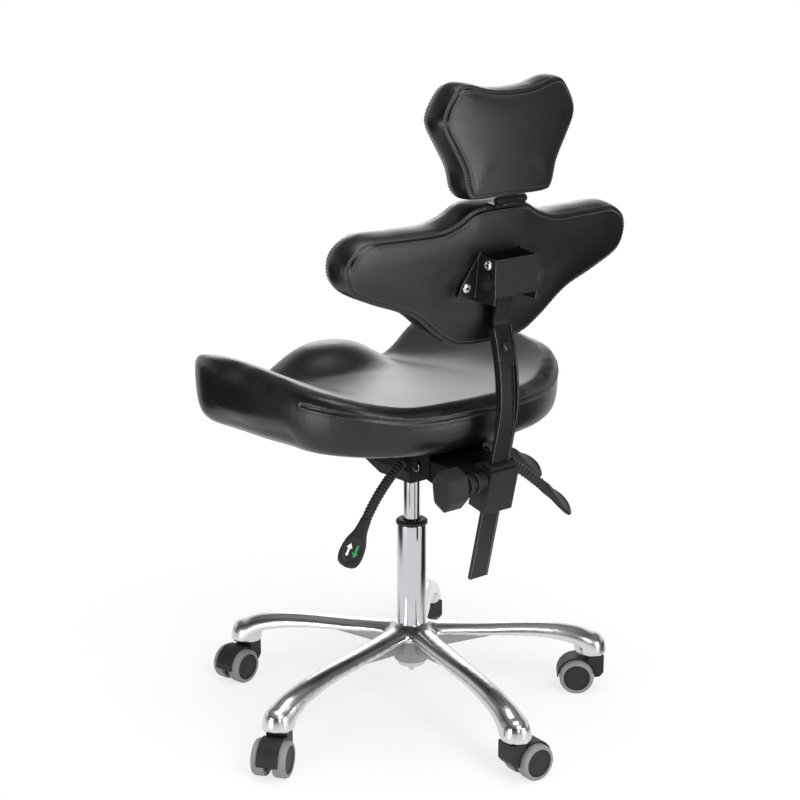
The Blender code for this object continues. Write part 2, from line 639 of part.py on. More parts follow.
def recline_parts(recline, socket):
    """The covered arm that swings on the seat plate, the stem's socket with its clamp boss, and its liner."""
    slot_x = STEM_WIDTH / 2 + LINER_WALL + 2 * CLEAR
    stem_front, stem_rear = -STEM_WEB / 2, STEM_WEB / 2 + LIP_LOW
    slot_n = (stem_front - LINER_WALL - 2 * CLEAR, stem_rear + LINER_WALL + 2 * CLEAR)
    half = BOX_WIDTH / 2
    tall = BOX_HALF_HEIGHT
    body = box("body", (-half, -BOX_FRONT, -tall), (half, BOX_REAR, tall))
    raised = Matrix.Translation((0, 0, KNOB_RISE))
    boss = placed(rod("boss", BOSS_RADIUS, half - LINER_WALL, half + BOSS_LENGTH, SMALL_SIDES, "X"), raised)
    slot = box("slot", (-slot_x, slot_n[0], -tall * 2), (slot_x, slot_n[1], tall * 2))
    stud_hole = placed(rod("stud", STUD_RADIUS + CLEAR, slot_x - LINER_WALL, half + BOSS_LENGTH + CUT_PAST,
                           SMALL_SIDES, "X"), raised)
    piece("back_socket", cut(union(body, boss), slot, stud_hole), black_plastic(), socket)

    sleeve = box("sleeve", (-slot_x + CLEAR, slot_n[0] + CLEAR, -tall),
                 (slot_x - CLEAR, slot_n[1] - CLEAR, tall + LINER_WALL))
    rim = box("rim", (-half + LINER_WALL, slot_n[0] - LINER_RIM, tall + CLEAR),
              (half - LINER_WALL, slot_n[1] + LINER_RIM, tall + LINER_RIM_HEIGHT))
    way = box("way", (-STEM_WIDTH / 2 - CLEAR, stem_front - CLEAR, -tall * 2),
              (STEM_WIDTH / 2 + CLEAR, stem_rear + CLEAR, tall * 2))
    piece("socket_liner", cut(union(sleeve, rim), way), black_plastic(), socket)

    to_pivot = Matrix.Translation((0, -RECLINE_PIN_Y, -RECLINE_PIN_Z)) @ socket_matrix()
    front = -BOX_FRONT - CLEAR
    inner = FLANGE_WIDTH / 2 - PLATE_THICKNESS - CLEAR
    rise = ARM_REAR_HALF_HEIGHT
    cross = box("cross", (-inner, front - ARM_PLATE, -rise), (inner, front, rise))
    ends = [to_pivot @ Vector((0, front - ARM_PLATE / 2, s)) for s in (-rise, rise)]
    cheek = [(p.y, p.z) for p in ends] + arc((0, 0), ARM_EYE_RADIUS, 75, 285, 8)
    cheeks = [extruded("cheek", cheek, low, low + ARM_PLATE) for low in (-inner, inner - ARM_PLATE)]
    fore, aft = Vector(cheek[2]), Vector(cheek[1])
    down = ARM_PLATE * Vector((aft.y - fore.y, fore.x - aft.x)).normalized()
    strip = [tuple(p + down * share) for p, share in ((fore, 0.2), (aft, 0.2), (aft, 1.2), (fore, 1.2))]
    middle = inner - ARM_PLATE / 2
    web = extruded("web", strip, -middle, middle)
    hole = cross_hole(0, 0, PIN_RADIUS + CLEAR, inner + CUT_PAST)
    piece("recline_arm", cut(union(placed(cross, to_pivot), *cheeks, web), hole), black_steel(), recline)
    cross_pin("recline_pin", FLANGE_WIDTH / 2 + CLEAR, recline, chrome())


def clamp_knob(knob):
    """The six-sided knob with its stud, which turns in the socket's boss."""
    tip = STEM_WIDTH / 2 + LINER_WALL + 3 * CLEAR
    near = BOX_WIDTH / 2 + BOSS_LENGTH + CLEAR
    corners = KNOB_TURN + 360.0 / KNOB_FLATS * np.arange(KNOB_FLATS)
    angles = np.radians(corners[:, None] + (-KNOB_CORNER, KNOB_CORNER)).ravel()

    def ring(x, shrink):
        r = KNOB_RADIUS - shrink
        return np.column_stack([np.full_like(angles, x), r * np.cos(angles), r * np.sin(angles)])

    far = near + KNOB_THICKNESS
    grip = loft("grip", [ring(near, 2 * KNOB_EDGE), ring(near + KNOB_EDGE, 0), ring(far - KNOB_EDGE, 0),
                         ring(far, KNOB_EDGE)])
    stud = rod("stud", STUD_RADIUS, tip, near + KNOB_EDGE, SMALL_SIDES, "X")
    piece("clamp_knob", union(grip, stud), black_plastic(), knob)


def socket_matrix():
    """The stem's frame in the chair: its Z runs up the stem and its Y points to the rear."""
    return Matrix.Translation((0, SOCKET_Y, SOCKET_Z)) @ Matrix.Rotation(math.radians(-STEM_LEAN), 4, "X")


def stem_point(angle, offset=0.0):
    """A point (y, z) of the stem's bend, at an angle into it and an offset behind its middle."""
    a = math.radians(angle)
    r = BEND_RADIUS + offset
    return r * math.cos(a) - BEND_RADIUS, STEM_ABOVE + r * math.sin(a)


STRAP_OFFSET = STEM_WEB / 2 + CLEAR + STRAP_THICKNESS / 2


def strap_path():
    """The strap's middle line in the stem's frame as (y, z, angle): along the bend, back, and up."""
    path = [(*stem_point(a, STRAP_OFFSET), a)
            for a in np.linspace(BEND_ANGLE - STRAP_OVERLAP_ANGLE, BEND_ANGLE, 5)]
    end = math.radians(BEND_ANGLE)
    r = STRAP_BEND_RADIUS
    centre = (path[-1][0] + r * math.cos(end), path[-1][1] + r * math.sin(end))
    for a in np.linspace(BEND_ANGLE, 0.0, 5)[1:]:
        t = math.radians(a)
        path.append((centre[0] - r * math.cos(t), centre[1] - r * math.sin(t), a))
    path.append((path[-1][0], path[-1][1] + STRAP_RISE, 0.0))
    return path


def bar_ring(section, y, z, angle):
    """A section of (x, depth) points set square to a path that leans forward by an angle."""
    a = math.radians(angle)
    return [(x, y + d * math.cos(a), z + d * math.sin(a)) for x, d in section]


def back_stem(slide):
    """The bent stem, a flat bar below and a lipped channel above, with the strap bolted into it."""
    half = STEM_WIDTH / 2

    def channel(lip):
        web, edge = STEM_WEB / 2, half - LIP_THICKNESS
        return [(-half, -web), (half, -web), (half, web + lip), (edge, web + lip), (edge, web),
                (-edge, web), (-edge, web + lip), (-half, web + lip)]

    rings = [bar_ring(channel(LIP_LOW), 0, z, 0) for z in (-STEM_BELOW, STEM_ABOVE)]
    for a in np.linspace(0.0, BEND_ANGLE, 9)[1:]:
        lip = LIP_LOW + (LIP_HIGH - LIP_LOW) * float(smooth(0.05, 0.45, a / BEND_ANGLE))
        rings.append(bar_ring(channel(lip), *stem_point(a), a))
    piece("back_stem", loft("stem", rings), black_steel(), slide)

    wide = half - LIP_THICKNESS - CLEAR
    thick = STRAP_THICKNESS / 2
    flat = [(-wide, -thick), (wide, -thick), (wide, thick), (-wide, thick)]
    path = strap_path()
    strap = loft("strap", [bar_ring(flat, *p) for p in path])
    eye = BRACKET_WIDTH / 2 - BRACKET_SHEET - CLEAR
    top = Matrix.Translation((0, path[-1][0], path[-1][1]))
    barrel = placed(rod("barrel", BARREL_RADIUS, -eye, eye, SMALL_SIDES, "X"), top)
    hole = placed(rod("hole", PIN_RADIUS + CLEAR, -eye - CUT_PAST, eye + CUT_PAST, SMALL_SIDES, "X"), top)
    piece("back_strap", cut(union(strap, barrel), hole), black_steel(), slide)

    seat = BEND_ANGLE - STRAP_OVERLAP_ANGLE * 0.5
    y, z = stem_point(seat, STRAP_OFFSET + thick + CLEAR)
    r, h = STRAP_BOLT_RADIUS, STRAP_BOLT_HEIGHT
    bolt = turned("bolt", [(0, 0), (r, 0), (r, h * 0.3), (r * 0.7, h * 0.8), (0, h)], SMALL_SIDES, "Y")
    facing = Matrix.Translation((0, y, z)) @ Matrix.Rotation(math.radians(seat), 4, "X")
    piece("strap_bolt", placed(bolt, facing), black_steel(), slide)


def back_parts(back):
    """The hat bracket on its cross bolt, the board behind the pad and the pad with its wings."""
    half = BRACKET_WIDTH / 2
    sheet = BRACKET_SHEET
    panel = -BOLT_TO_PANEL
    foot = panel + CLEAR
    low, high = -BRACKET_BELOW - CHEEK_DROP, BRACKET_ABOVE + EAR_RISE
    cheek = [(foot, low - CHEEK_SLOPE), (BRACKET_DEPTH_LOW, low), (BRACKET_DEPTH_LOW, -BRACKET_BELOW),
             (BRACKET_DEPTH_HIGH, BRACKET_ABOVE), (foot, BRACKET_ABOVE)]
    cheeks = [extruded("cheek", cheek, low, low + sheet) for low in (-half, half - sheet)]
    rear = [(BRACKET_DEPTH_LOW - sheet, -BRACKET_BELOW), (BRACKET_DEPTH_LOW, -BRACKET_BELOW),
            (BRACKET_DEPTH_HIGH, BRACKET_ABOVE), (BRACKET_DEPTH_HIGH - sheet, BRACKET_ABOVE)]
    rear_plate = extruded("rear", rear, -half, half)
    ear = [(half - sheet, low), (half + EAR_REACH, low + EAR_TIP_LOW),
           (half + EAR_REACH * 0.9, low + EAR_TIP_HIGH), (half - sheet, high)]
    ears = [extruded("ear", [(side * x, z) for x, z in ear], foot, foot + sheet, "Y") for side in (-1, 1)]
    hole = rod("hole", PIN_RADIUS + CLEAR, -half - CUT_PAST, half + CUT_PAST, SMALL_SIDES, "X")
    heads = screw_heads(half, foot + sheet)
    piece("back_bracket", cut(union(rear_plate, *cheeks, *ears, *heads), hole), black_steel(), back)
    cross_pin("bracket_bolt", half + CLEAR, back, black_steel())

    centre = Matrix.Translation((0, panel, -PANEL_BELOW_BOLT))
    outline = closed_outline(BACK_HALF_OUTLINE, OUTLINE_POINTS)
    board = shell("board", outline, pad_board_stations(), BACK_CURVE)
    pad = shell("pad", outline, pad_stations(BACK_THICKNESS), BACK_CURVE)
    slot = leaf_slot(HINGE_ABOVE_BOLT - HINGE_LEAF_LENGTH - CLEAR, HINGE_ABOVE_BOLT)
    piece("back_board", cut(placed(board, centre), slot), plywood(), back)
    piece("back_pad", placed(pad, centre), leatherette(), back)


def screw_heads(half, ear_face):
    """Round screw heads sunk into the bracket's sheet, one on each ear and one high on each cheek."""
    r, h = SCREW_RADIUS, SCREW_HEIGHT
    profile = [(0, -BRACKET_SHEET / 2), (r, -BRACKET_SHEET / 2), (r, h * 0.2), (r * 0.6, h * 0.85), (0, h)]
    heads = []
    for side in (-1, 1):
        on_ear = Matrix.Translation((side * (half + EAR_SCREW_OUT), ear_face, -EAR_SCREW_DROP))
        turn = Matrix.Rotation((1 - side) * math.pi / 2, 4, "Z")
        on_cheek = Matrix.Translation((side * half, 0, CHEEK_SCREW_RISE)) @ turn
        heads.append(placed(turned("head", profile, SMALL_SIDES, "Y"), on_ear))
        heads.append(placed(turned("head", profile, SMALL_SIDES, "X"), on_cheek))
    return heads


def board_middle():
    """How far behind the bracket bolt the middle of the back board lies."""
    return -BOLT_TO_PANEL - BOARD_THICKNESS / 2


def leaf_slot(low, high):
    """A cutter for a hinge leaf in the back board's top edge."""
    y = board_middle()
    room = HINGE_LEAF / 2 + CLEAR
    wide = HINGE_WIDTH / 2 + CLEAR
    return box("slot", (-wide, y - room, low), (wide, y + room, high))


def pad_board_stations():
    """A board whose rear face is the pad's rear panel."""
    t = BOARD_THICKNESS
    return [(0, -t), (0.94, -t), (0.94, -t * 0.3), (0.92, 0), (0, 0)]


def pad_stations(thickness):
    """A crowned front, full sides that draw in to the seam, and a flat back on the board."""
    rear = -BOARD_THICKNESS - CLEAR
    front = rear - thickness
    shares = ((0.45, 0.99), (0.72, 0.96), (0.89, 0.86), (0.97, 0.66), (1.0, 0.42), (0.985, 0.18), (0.95, 0.0))
    return [(0, front), *((share, rear - thickness * depth) for share, depth in shares), (0, rear)]


def headrest_parts(back, head):
    """The hinge between the back board and the headrest board, and the waisted headrest pad."""
    leaf = HINGE_LEAF / 2
    wide = HINGE_WIDTH / 2
    eye = HINGE_PIN_RADIUS + CLEAR
    knuckle = HINGE_KNUCKLE / 2
    pin_hole = rod("hole", eye, -wide - CUT_PAST, wide + CUT_PAST, SMALL_SIDES, "X")

    in_board = -HINGE_BEHIND_BOARD
    step = -HINGE_RADIUS - 2 * CLEAR
    low_leaf = box("leaf", (-wide, in_board - leaf, -HINGE_LEAF_LENGTH), (wide, in_board + leaf, step))
    joggle = box("joggle", (-wide, in_board - leaf, step - HINGE_JOGGLE), (wide, leaf, step))
    riser = box("riser", (-wide, -leaf, step - HINGE_JOGGLE), (wide, leaf, 0))
    barrels = [rod("barrel", HINGE_RADIUS, low, high, SMALL_SIDES, "X")
               for low, high in ((-wide, -knuckle - CLEAR), (knuckle + CLEAR, wide))]
    gap = box("gap", (-knuckle - CLEAR, -CUT_PAST, step), (knuckle + CLEAR, CUT_PAST, CUT_PAST))
    lower = cut(union(cut(union(low_leaf, joggle, riser), gap), *barrels), pin_hole)
    lift = Matrix.Translation((0, board_middle() + HINGE_BEHIND_BOARD, HINGE_ABOVE_BOLT))
    piece("head_bracket", placed(lower, lift), black_steel(), back)

    high_leaf = box("leaf", (-wide, -leaf, HINGE_RADIUS + 2 * CLEAR), (wide, leaf, HINGE_LEAF_LENGTH))
    neck = box("neck", (-knuckle, -leaf, 0), (knuckle, leaf, HINGE_LEAF_LENGTH / 2))
    barrel = rod("barrel", HINGE_RADIUS, -knuckle, knuckle, SMALL_SIDES, "X")
    piece("head_hinge", cut(union(high_leaf, neck, barrel), pin_hole), black_steel(), head)
    pin = rod("pin", HINGE_PIN_RADIUS, -wide, wide, SMALL_SIDES, "X")
    piece("head_pin", pin, chrome(), head)

    outline = closed_outline(HEAD_HALF_OUTLINE, OUTLINE_POINTS)
    middle = np.array([0.0, outline[:, 1].mean()])
    seat = Matrix.Translation((0, HEAD_PANEL_BEHIND_HINGE, middle[1]))
    room = HINGE_LEAF / 2 + CLEAR
    slot = box("slot", (-wide - CLEAR, -room, 0), (wide + CLEAR, room, HINGE_LEAF_LENGTH + CLEAR))
    board = shell("board", outline - middle, pad_board_stations(), HEAD_CURVE)
    pad = shell("pad", outline - middle, pad_stations(HEAD_THICKNESS), HEAD_CURVE)
    piece("head_board", cut(placed(board, seat), slot), plywood(), head)
    piece("head_pad", placed(pad, seat), leatherette(), head)


def seat_floor():
    """The underside of the seat board, on the seat plate."""
    return PLATE_TOP + CLEAR


def seat_height(x, y):
    """The top of the seat: raised side wings, a pommel in front and thigh channels between them."""
    side = smooth(WING_INNER, SEAT_HALF_OUTLINE[5][0], np.abs(x))
    front = WING_REAR_SHARE + (1 - WING_REAR_SHARE) * smooth(WING_REAR_Y, WING_FRONT_Y, y)
    pommel = np.exp(-np.hypot(x / POMMEL_WIDTH, (y - POMMEL_Y) / POMMEL_LENGTH) ** 3)
    channel = np.exp(-(((np.abs(x) - CHANNEL_X) / CHANNEL_WIDTH) ** 2)) * smooth(0.0, CHANNEL_FRONT_Y, y)
    return SEAT_TOP + WING_RISE * side * front + POMMEL_RISE * pommel - CHANNEL_DROP * channel


def seat_parts(tilt):
    """The seat board on the plate, and the saddle cushion on the board."""
    outline = closed_outline(SEAT_HALF_OUTLINE, OUTLINE_POINTS)
    middle = outline.mean(axis=0)

    def ring(share, rise):
        flat = middle + (outline - middle) * share
        return np.column_stack([flat, rise(flat[:, 0], flat[:, 1])])

    def level(z):
        return lambda x, y: np.full_like(x, z)

    def side(share):
        return lambda x, y: floor + (seat_height(x, y) - floor) * share

    away = Matrix.Translation((0, -TILT_PIN_Y, -TILT_PIN_Z))
    floor = seat_floor() + SEAT_BOARD_THICKNESS + CLEAR
    low = 1.0 - SEAT_UNDERCUT
    top = [ring(share, seat_height) for share in (0.25, 0.5, 0.7, 0.85)]
    edge = [ring(0.95, side(0.975)), ring(0.988, side(0.88)), ring(1.0, side(0.70)), ring(0.982, side(0.35)),
            ring(low + 0.07, side(0.09)), ring(low, level(floor))]
    crown = (*middle, float(seat_height(*middle)))
    cushion = loft("cushion", top + edge, (crown, (*middle, floor)))
    piece("seat_cushion", placed(cushion, away), leatherette(), tilt)
    flat = [ring(low - 0.02, level(z)) for z in (seat_floor(), seat_floor() + SEAT_BOARD_THICKNESS)]
    piece("seat_board", placed(loft("board", flat), away), plywood(), tilt)


def lever(name, joint, side, path):
    """A lever in the XZ plane of its joint: a ball root, a ribbed sleeve along a bend, and a paddle
    whose outer face is twisted to the rear."""
    path = np.array(path) * (side, 1.0)
    start, knee, end = path
    t = np.linspace(0.0, 1.0, 2 * LEVER_RIBS + 1)[:, None]
    line = (1 - t) ** 2 * start + 2 * t * (1 - t) * knee + t**2 * end
    heading = 2 * (1 - t) * (knee - start) + 2 * t * (end - knee)
    heading /= np.linalg.norm(heading, axis=1)[:, None]
    angles = np.linspace(0.0, math.tau, 8, endpoint=False)

    def ring(centre, forward, across, through, twist=0.0):
        normal = np.array([-forward[1], forward[0]]) * side
        u, w = np.cos(angles) * across, np.sin(angles) * through
        rise = w * math.cos(twist) - u * math.sin(twist)
        rear = u * math.cos(twist) + w * math.sin(twist)
        return np.column_stack([centre[0] + normal[0] * rise, rear, centre[1] + normal[1] * rise])

    radii = LEVER_ROD_RADIUS + LEVER_RIB * (np.arange(len(line)) % 2)
    sleeve = loft("sleeve", [ring(p, h, r, r) for p, h, r in zip(line, heading, radii)])
    root = LEVER_ROOT_RADIUS
    ball = turned("ball", [(0, -root)] + [(root * math.cos(a), root * math.sin(a)) for a in
                                          np.radians((-60, -30, 0, 30, 60))] + [(0, root)], SMALL_SIDES, "X")
    piece(f"{name}_arm", union(ball, sleeve), black_plastic(), joint)

    forward = heading[-1]
    begin = end + forward * CLEAR
    shape = ((0.0, 0.50, 1.7), (0.10, 0.50, 1.7), (0.28, 0.58, 1.3), (0.50, 0.90, 1.0), (0.74, 1.0, 0.9),
             (0.92, 0.80, 0.7), (1.0, 0.40, 0.4))
    wide, thick = PADDLE_WIDTH / 2, PADDLE_THICKNESS / 2
    twist = math.radians(PADDLE_TWIST)
    rings = [ring(begin + forward * PADDLE_LENGTH * s, forward, wide * w, thick * h, twist)
             for s, w, h in shape]
    piece(f"{name}_paddle", loft("paddle", rings), black_plastic(), joint)


def levers(tilt):
    """One lever on the sitter's left and two on the right, each on a ball at the seat plate's flange."""
    out = FLANGE_WIDTH / 2 + LEVER_ROOT_RADIUS + CLEAR
    for name, side, y, path in (
        ("tilt_lever", 1, TILT_LEVER_Y, TILT_LEVER_PATH),
        ("lift_lever", -1, LIFT_LEVER_Y, LIFT_LEVER_PATH),
        ("recline_lever", -1, RECLINE_LEVER_Y, RECLINE_LEVER_PATH),
    ):
        joint = empty(f"{name}_pivot", tilt, (side * out, y - TILT_PIN_Y, LEVER_ROOT_Z - TILT_PIN_Z))
        lever(name, joint, side, path)


def build():
    start_clean()
    base_star()
    casters()
    lift = empty("lift")
    gas_column(lift)
    swivel = empty("seat_swivel", lift)
    tilt = empty("seat_tilt", swivel, (0, TILT_PIN_Y, TILT_PIN_Z))
    mechanism(swivel, tilt)
    seat_parts(tilt)
    levers(tilt)
    recline = empty("recline", tilt, (0, RECLINE_PIN_Y - TILT_PIN_Y, RECLINE_PIN_Z - TILT_PIN_Z))
    socket = empty("stem_socket", recline, (0, SOCKET_Y - RECLINE_PIN_Y, SOCKET_Z - RECLINE_PIN_Z), STEM_LEAN)
    recline_parts(recline, socket)
    clamp_knob(empty("knob_turn", socket, (0, 0, KNOB_RISE)))
    slide = empty("stem_slide", socket)
    back_stem(slide)
    bolt_y, bolt_z, _ = strap_path()[-1]
    back = empty("back_tilt", slide, (0, bolt_y, bolt_z), BACK_LEAN - STEM_LEAN)
    back_parts(back)
    head = empty("head_tilt", back, (0, board_middle() + HINGE_BEHIND_BOARD, HINGE_ABOVE_BOLT), -BACK_LEAN)
    headrest_parts(back, head)


build()
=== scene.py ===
# %% [markdown]
# # The looks of a saddle work stool
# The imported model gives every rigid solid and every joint. This lesson dresses that frame: it plumps
# the three leatherette pads, sews their seams, turns the chrome column, casts the polished base and
# rounds the steel and plastic parts. Every new piece rides on one body of the frame, so the stool
# still works at each pose. Lengths are in metres, the sitter faces -Y, and the floor is at z = 0.

# %% Load the frame
import json
import math

import bmesh
import bpy
import numpy as np
from mathutils import Matrix, Vector

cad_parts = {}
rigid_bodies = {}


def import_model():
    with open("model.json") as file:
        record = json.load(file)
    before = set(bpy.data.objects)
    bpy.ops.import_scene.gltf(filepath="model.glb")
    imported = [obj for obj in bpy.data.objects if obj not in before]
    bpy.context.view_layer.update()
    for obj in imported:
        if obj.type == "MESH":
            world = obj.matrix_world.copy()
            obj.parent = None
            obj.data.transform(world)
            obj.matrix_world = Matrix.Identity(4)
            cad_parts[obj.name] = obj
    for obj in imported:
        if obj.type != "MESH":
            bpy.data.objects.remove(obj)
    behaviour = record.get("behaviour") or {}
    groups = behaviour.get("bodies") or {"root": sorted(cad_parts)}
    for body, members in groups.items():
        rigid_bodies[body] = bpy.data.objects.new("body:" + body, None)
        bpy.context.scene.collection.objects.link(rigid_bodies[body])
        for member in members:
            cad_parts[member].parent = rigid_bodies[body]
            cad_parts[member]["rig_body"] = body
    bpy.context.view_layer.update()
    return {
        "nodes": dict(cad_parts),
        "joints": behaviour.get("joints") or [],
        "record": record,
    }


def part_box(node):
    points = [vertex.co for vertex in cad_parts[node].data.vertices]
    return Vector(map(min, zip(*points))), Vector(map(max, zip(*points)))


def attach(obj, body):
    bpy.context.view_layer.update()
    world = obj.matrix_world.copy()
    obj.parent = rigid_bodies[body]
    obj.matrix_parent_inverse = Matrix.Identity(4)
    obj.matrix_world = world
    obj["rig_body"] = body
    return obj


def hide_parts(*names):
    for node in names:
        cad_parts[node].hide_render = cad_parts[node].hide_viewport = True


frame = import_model()
joints = {joint["name"]: joint for joint in frame["joints"]}
slots = {part["node"]: part["material_slot"] for part in frame["record"]["subparts"]}


def linked(name, data):
    """An object of the scene that holds a mesh, a camera or a lamp."""
    made = bpy.data.objects.new(name, data)
    bpy.context.scene.collection.objects.link(made)
    return made



# %% [markdown]
# ## Camera
# The photo was taken from behind the stool and from the sitter's left, from a little above the seat,
# with a long lens. A camera is a point, two angles and a lens, so it is written as just these. The
# place was found by fitting the column, the base and the castors to the picture.

# %% Camera
CAMERA_TURN, CAMERA_DOWN = 140.0, 15.46
CAMERA_PLACE = (1.9436, 2.2853, 1.379)
CAMERA_LENS, CAMERA_SENSOR = 84.28, 36.0

camera_data = bpy.data.cameras.new("photo_camera")
camera_data.lens, camera_data.sensor_width = CAMERA_LENS, CAMERA_SENSOR
camera = linked("photo_camera", camera_data)
camera.location = CAMERA_PLACE
camera.rotation_euler = (math.radians(90.0 - CAMERA_DOWN), 0.0, math.radians(CAMERA_TURN))
bpy.context.scene.camera = camera
bpy.context.scene.view_settings.view_transform = "Standard"

# %% [markdown]
# ## Shader sums
# A finish is a small circuit of nodes. Wiring it by hand takes many lines, so one class wraps a socket
# and turns plain Python sums into Math nodes, and one method makes any other node from its type, its
# settings and what goes into its sockets.


# %% Shader helper
class Wire:
    """A socket that can stand in a sum: each operator adds one Math node behind it."""

    def __init__(self, finish, socket):
        self.finish, self.socket = finish, socket

    def math(self, operation, first, second):
        """One Math node of two inputs."""
        return self.finish.node("ShaderNodeMath", {"operation": operation}, {0: first, 1: second})

    def __add__(self, other):
        return self.math("ADD", self, other)

    def __sub__(self, other):
        return self.math("SUBTRACT", self, other)

    def __rsub__(self, other):
        return self.math("SUBTRACT", other, self)

    def __mul__(self, other):
        return self.math("MULTIPLY", self, other)

    __radd__ = __add__
    __rmul__ = __mul__


class Finish:
    """A node tree of a material, a world or a stage with a way to add nodes in one call."""

    def __init__(self, tree):
        self.tree = tree
        self.tree.nodes.clear()

    def node(self, kind, settings=None, inputs=None, output=0):
        """Add a node: settings are set first, then each socket takes a value or a wire."""
        made = self.tree.nodes.new(kind)
        for key, value in (settings or {}).items():
            setattr(made, key, value)
        for key, value in (inputs or {}).items():
            if isinstance(value, Wire):
                self.tree.links.new(value.socket, made.inputs[key])
            else:
                made.inputs[key].default_value = value
        return Wire(self, made.outputs[output]) if made.outputs else made

    def place(self, stretch=(1.0, 1.0, 1.0)):
        """Object coordinates, stretched as a pattern needs."""
        own = self.node("ShaderNodeTexCoord", output="Object")
        return self.node("ShaderNodeMapping", None, {"Vector": own, "Scale": stretch})

    def noise(self, scale, detail, stretch=(1.0, 1.0, 1.0)):
        """A cloudy value from 0 to 1, with so many clouds to the metre."""
        return self.node("ShaderNodeTexNoise", None,
                         {"Vector": self.place(stretch), "Scale": scale, "Detail": detail})

    def cells(self, scale):
        """The distance to the nearest of scattered points, with so many cells to the metre."""
        return self.node("ShaderNodeTexVoronoi", None, {"Vector": self.place(), "Scale": scale})

    def blend(self, factor, dark, light):
        """A colour between two by a factor."""
        return self.node("ShaderNodeMix", {"data_type": "RGBA"},
                         {0: factor, 6: (*dark, 1.0), 7: (*light, 1.0)}, output=2)

    def soft_step(self, value, low, high):
        """0 below low, 1 above high and a smooth slope between them."""
        return self.node("ShaderNodeMapRange", {"interpolation_type": "SMOOTHSTEP"},
                         {0: value, 1: low, 2: high, 3: 0.0, 4: 1.0})

    def of_one(self, operation, value):
        """A Math node with one input, such as a square root."""
        return self.node("ShaderNodeMath", {"operation": operation}, {0: value})

    def bump(self, height, distance, strength):
        """A normal tilted by the slope of a height."""
        return self.node("ShaderNodeBump", None,
                         {"Height": height, "Distance": distance, "Strength": strength})


def material(name, **sockets):
    """A Principled material: returns it with its circuit and the shader's own sockets filled."""
    made = bpy.data.materials.new(name)
    made.use_nodes = True
    finish = Finish(made.node_tree)
    shader = finish.node("ShaderNodeBsdfPrincipled")
    finish.node("ShaderNodeOutputMaterial", None, {"Surface": shader})
    finish.shader = shader.socket.node
    for key, value in sockets.items():
        finish.shader.inputs[key.replace("_", " ")].default_value = value
    return made, finish


def feed(finish, **wires):
    """Lead wires into the Principled shader's sockets."""
    for key, wire in wires.items():
        finish.tree.links.new(wire.socket, finish.shader.inputs[key.replace("_", " ")])


# %% [markdown]
# ## Stage and light
# The photo has a white ground and soft light from a few large boxes. The floor is a pale plane that shows
# white to the camera and keeps a faint shadow round the stool. The world is white to the camera too.
# Polished metal and leather need something dark to mirror, so glossy rays see two dim wedges of the ground,
# to the right and to the left of the stool, and a dim room behind the camera.

# %% Stage and light
FLOOR_SIZE, FLOOR_GREY = 60.0, 0.86
FLOOR_SHADE, SHADE_REACH = 0.25, (0.45, 0.90)
# Each wedge: the way it points in degrees, its slope, and where along it the dimming starts and is full.
DIM_WEDGES = ((152.0, 0.31, 0.35, 0.80), (-55.0, 0.50, 0.90, 1.40))
WEDGE_BLUR = 0.3
ROOM_LIGHT, ROOM_DIM, ROOM_AHEAD, ROOM_ABOVE = 0.50, 0.03, 0.95, 0.28
AWAY, AHEAD_SIDES, AHEAD_TOP, ABOVE_RISE = (-0.643, -0.766), (-0.15, 0.45), (0.62, 0.34), (0.45, 0.95)
WHITE = (1.0, 1.0, 1.0, 1.0)
# Each lamp: its place, the height it aims at over the middle of the floor, its size and its watts.
LAMPS = {
    "rear_box": ((0.6, 2.9, 2.6), 0.7, 1.3, 60.0),
    "right_box": ((-0.9, 2.9, 0.55), 0.6, 0.7, 22.0),
    "left_box": ((2.6, 0.1, 0.42), 0.6, 0.7, 20.0),
    "low_box": ((1.1, 2.9, 0.8), 0.6, 0.8, 5.0),
    "top_box": ((0.2, 0.3, 3.4), 0.5, 1.6, 50.0),
    "backdrop_box": ((-1.9, -2.3, 1.4), 0.6, 1.6, 14.0),
}


def split(finish, wire):
    """The three parts of a vector."""
    apart = finish.tree.nodes.new("ShaderNodeSeparateXYZ")
    finish.tree.links.new(wire.socket, apart.inputs[0])
    return [Wire(finish, apart.outputs[i]) for i in range(3)]


def ray_kind(finish, kind):
    """1 for rays of a kind and 0 for the rest."""
    return finish.node("ShaderNodeLightPath", output=f"Is {kind} Ray")


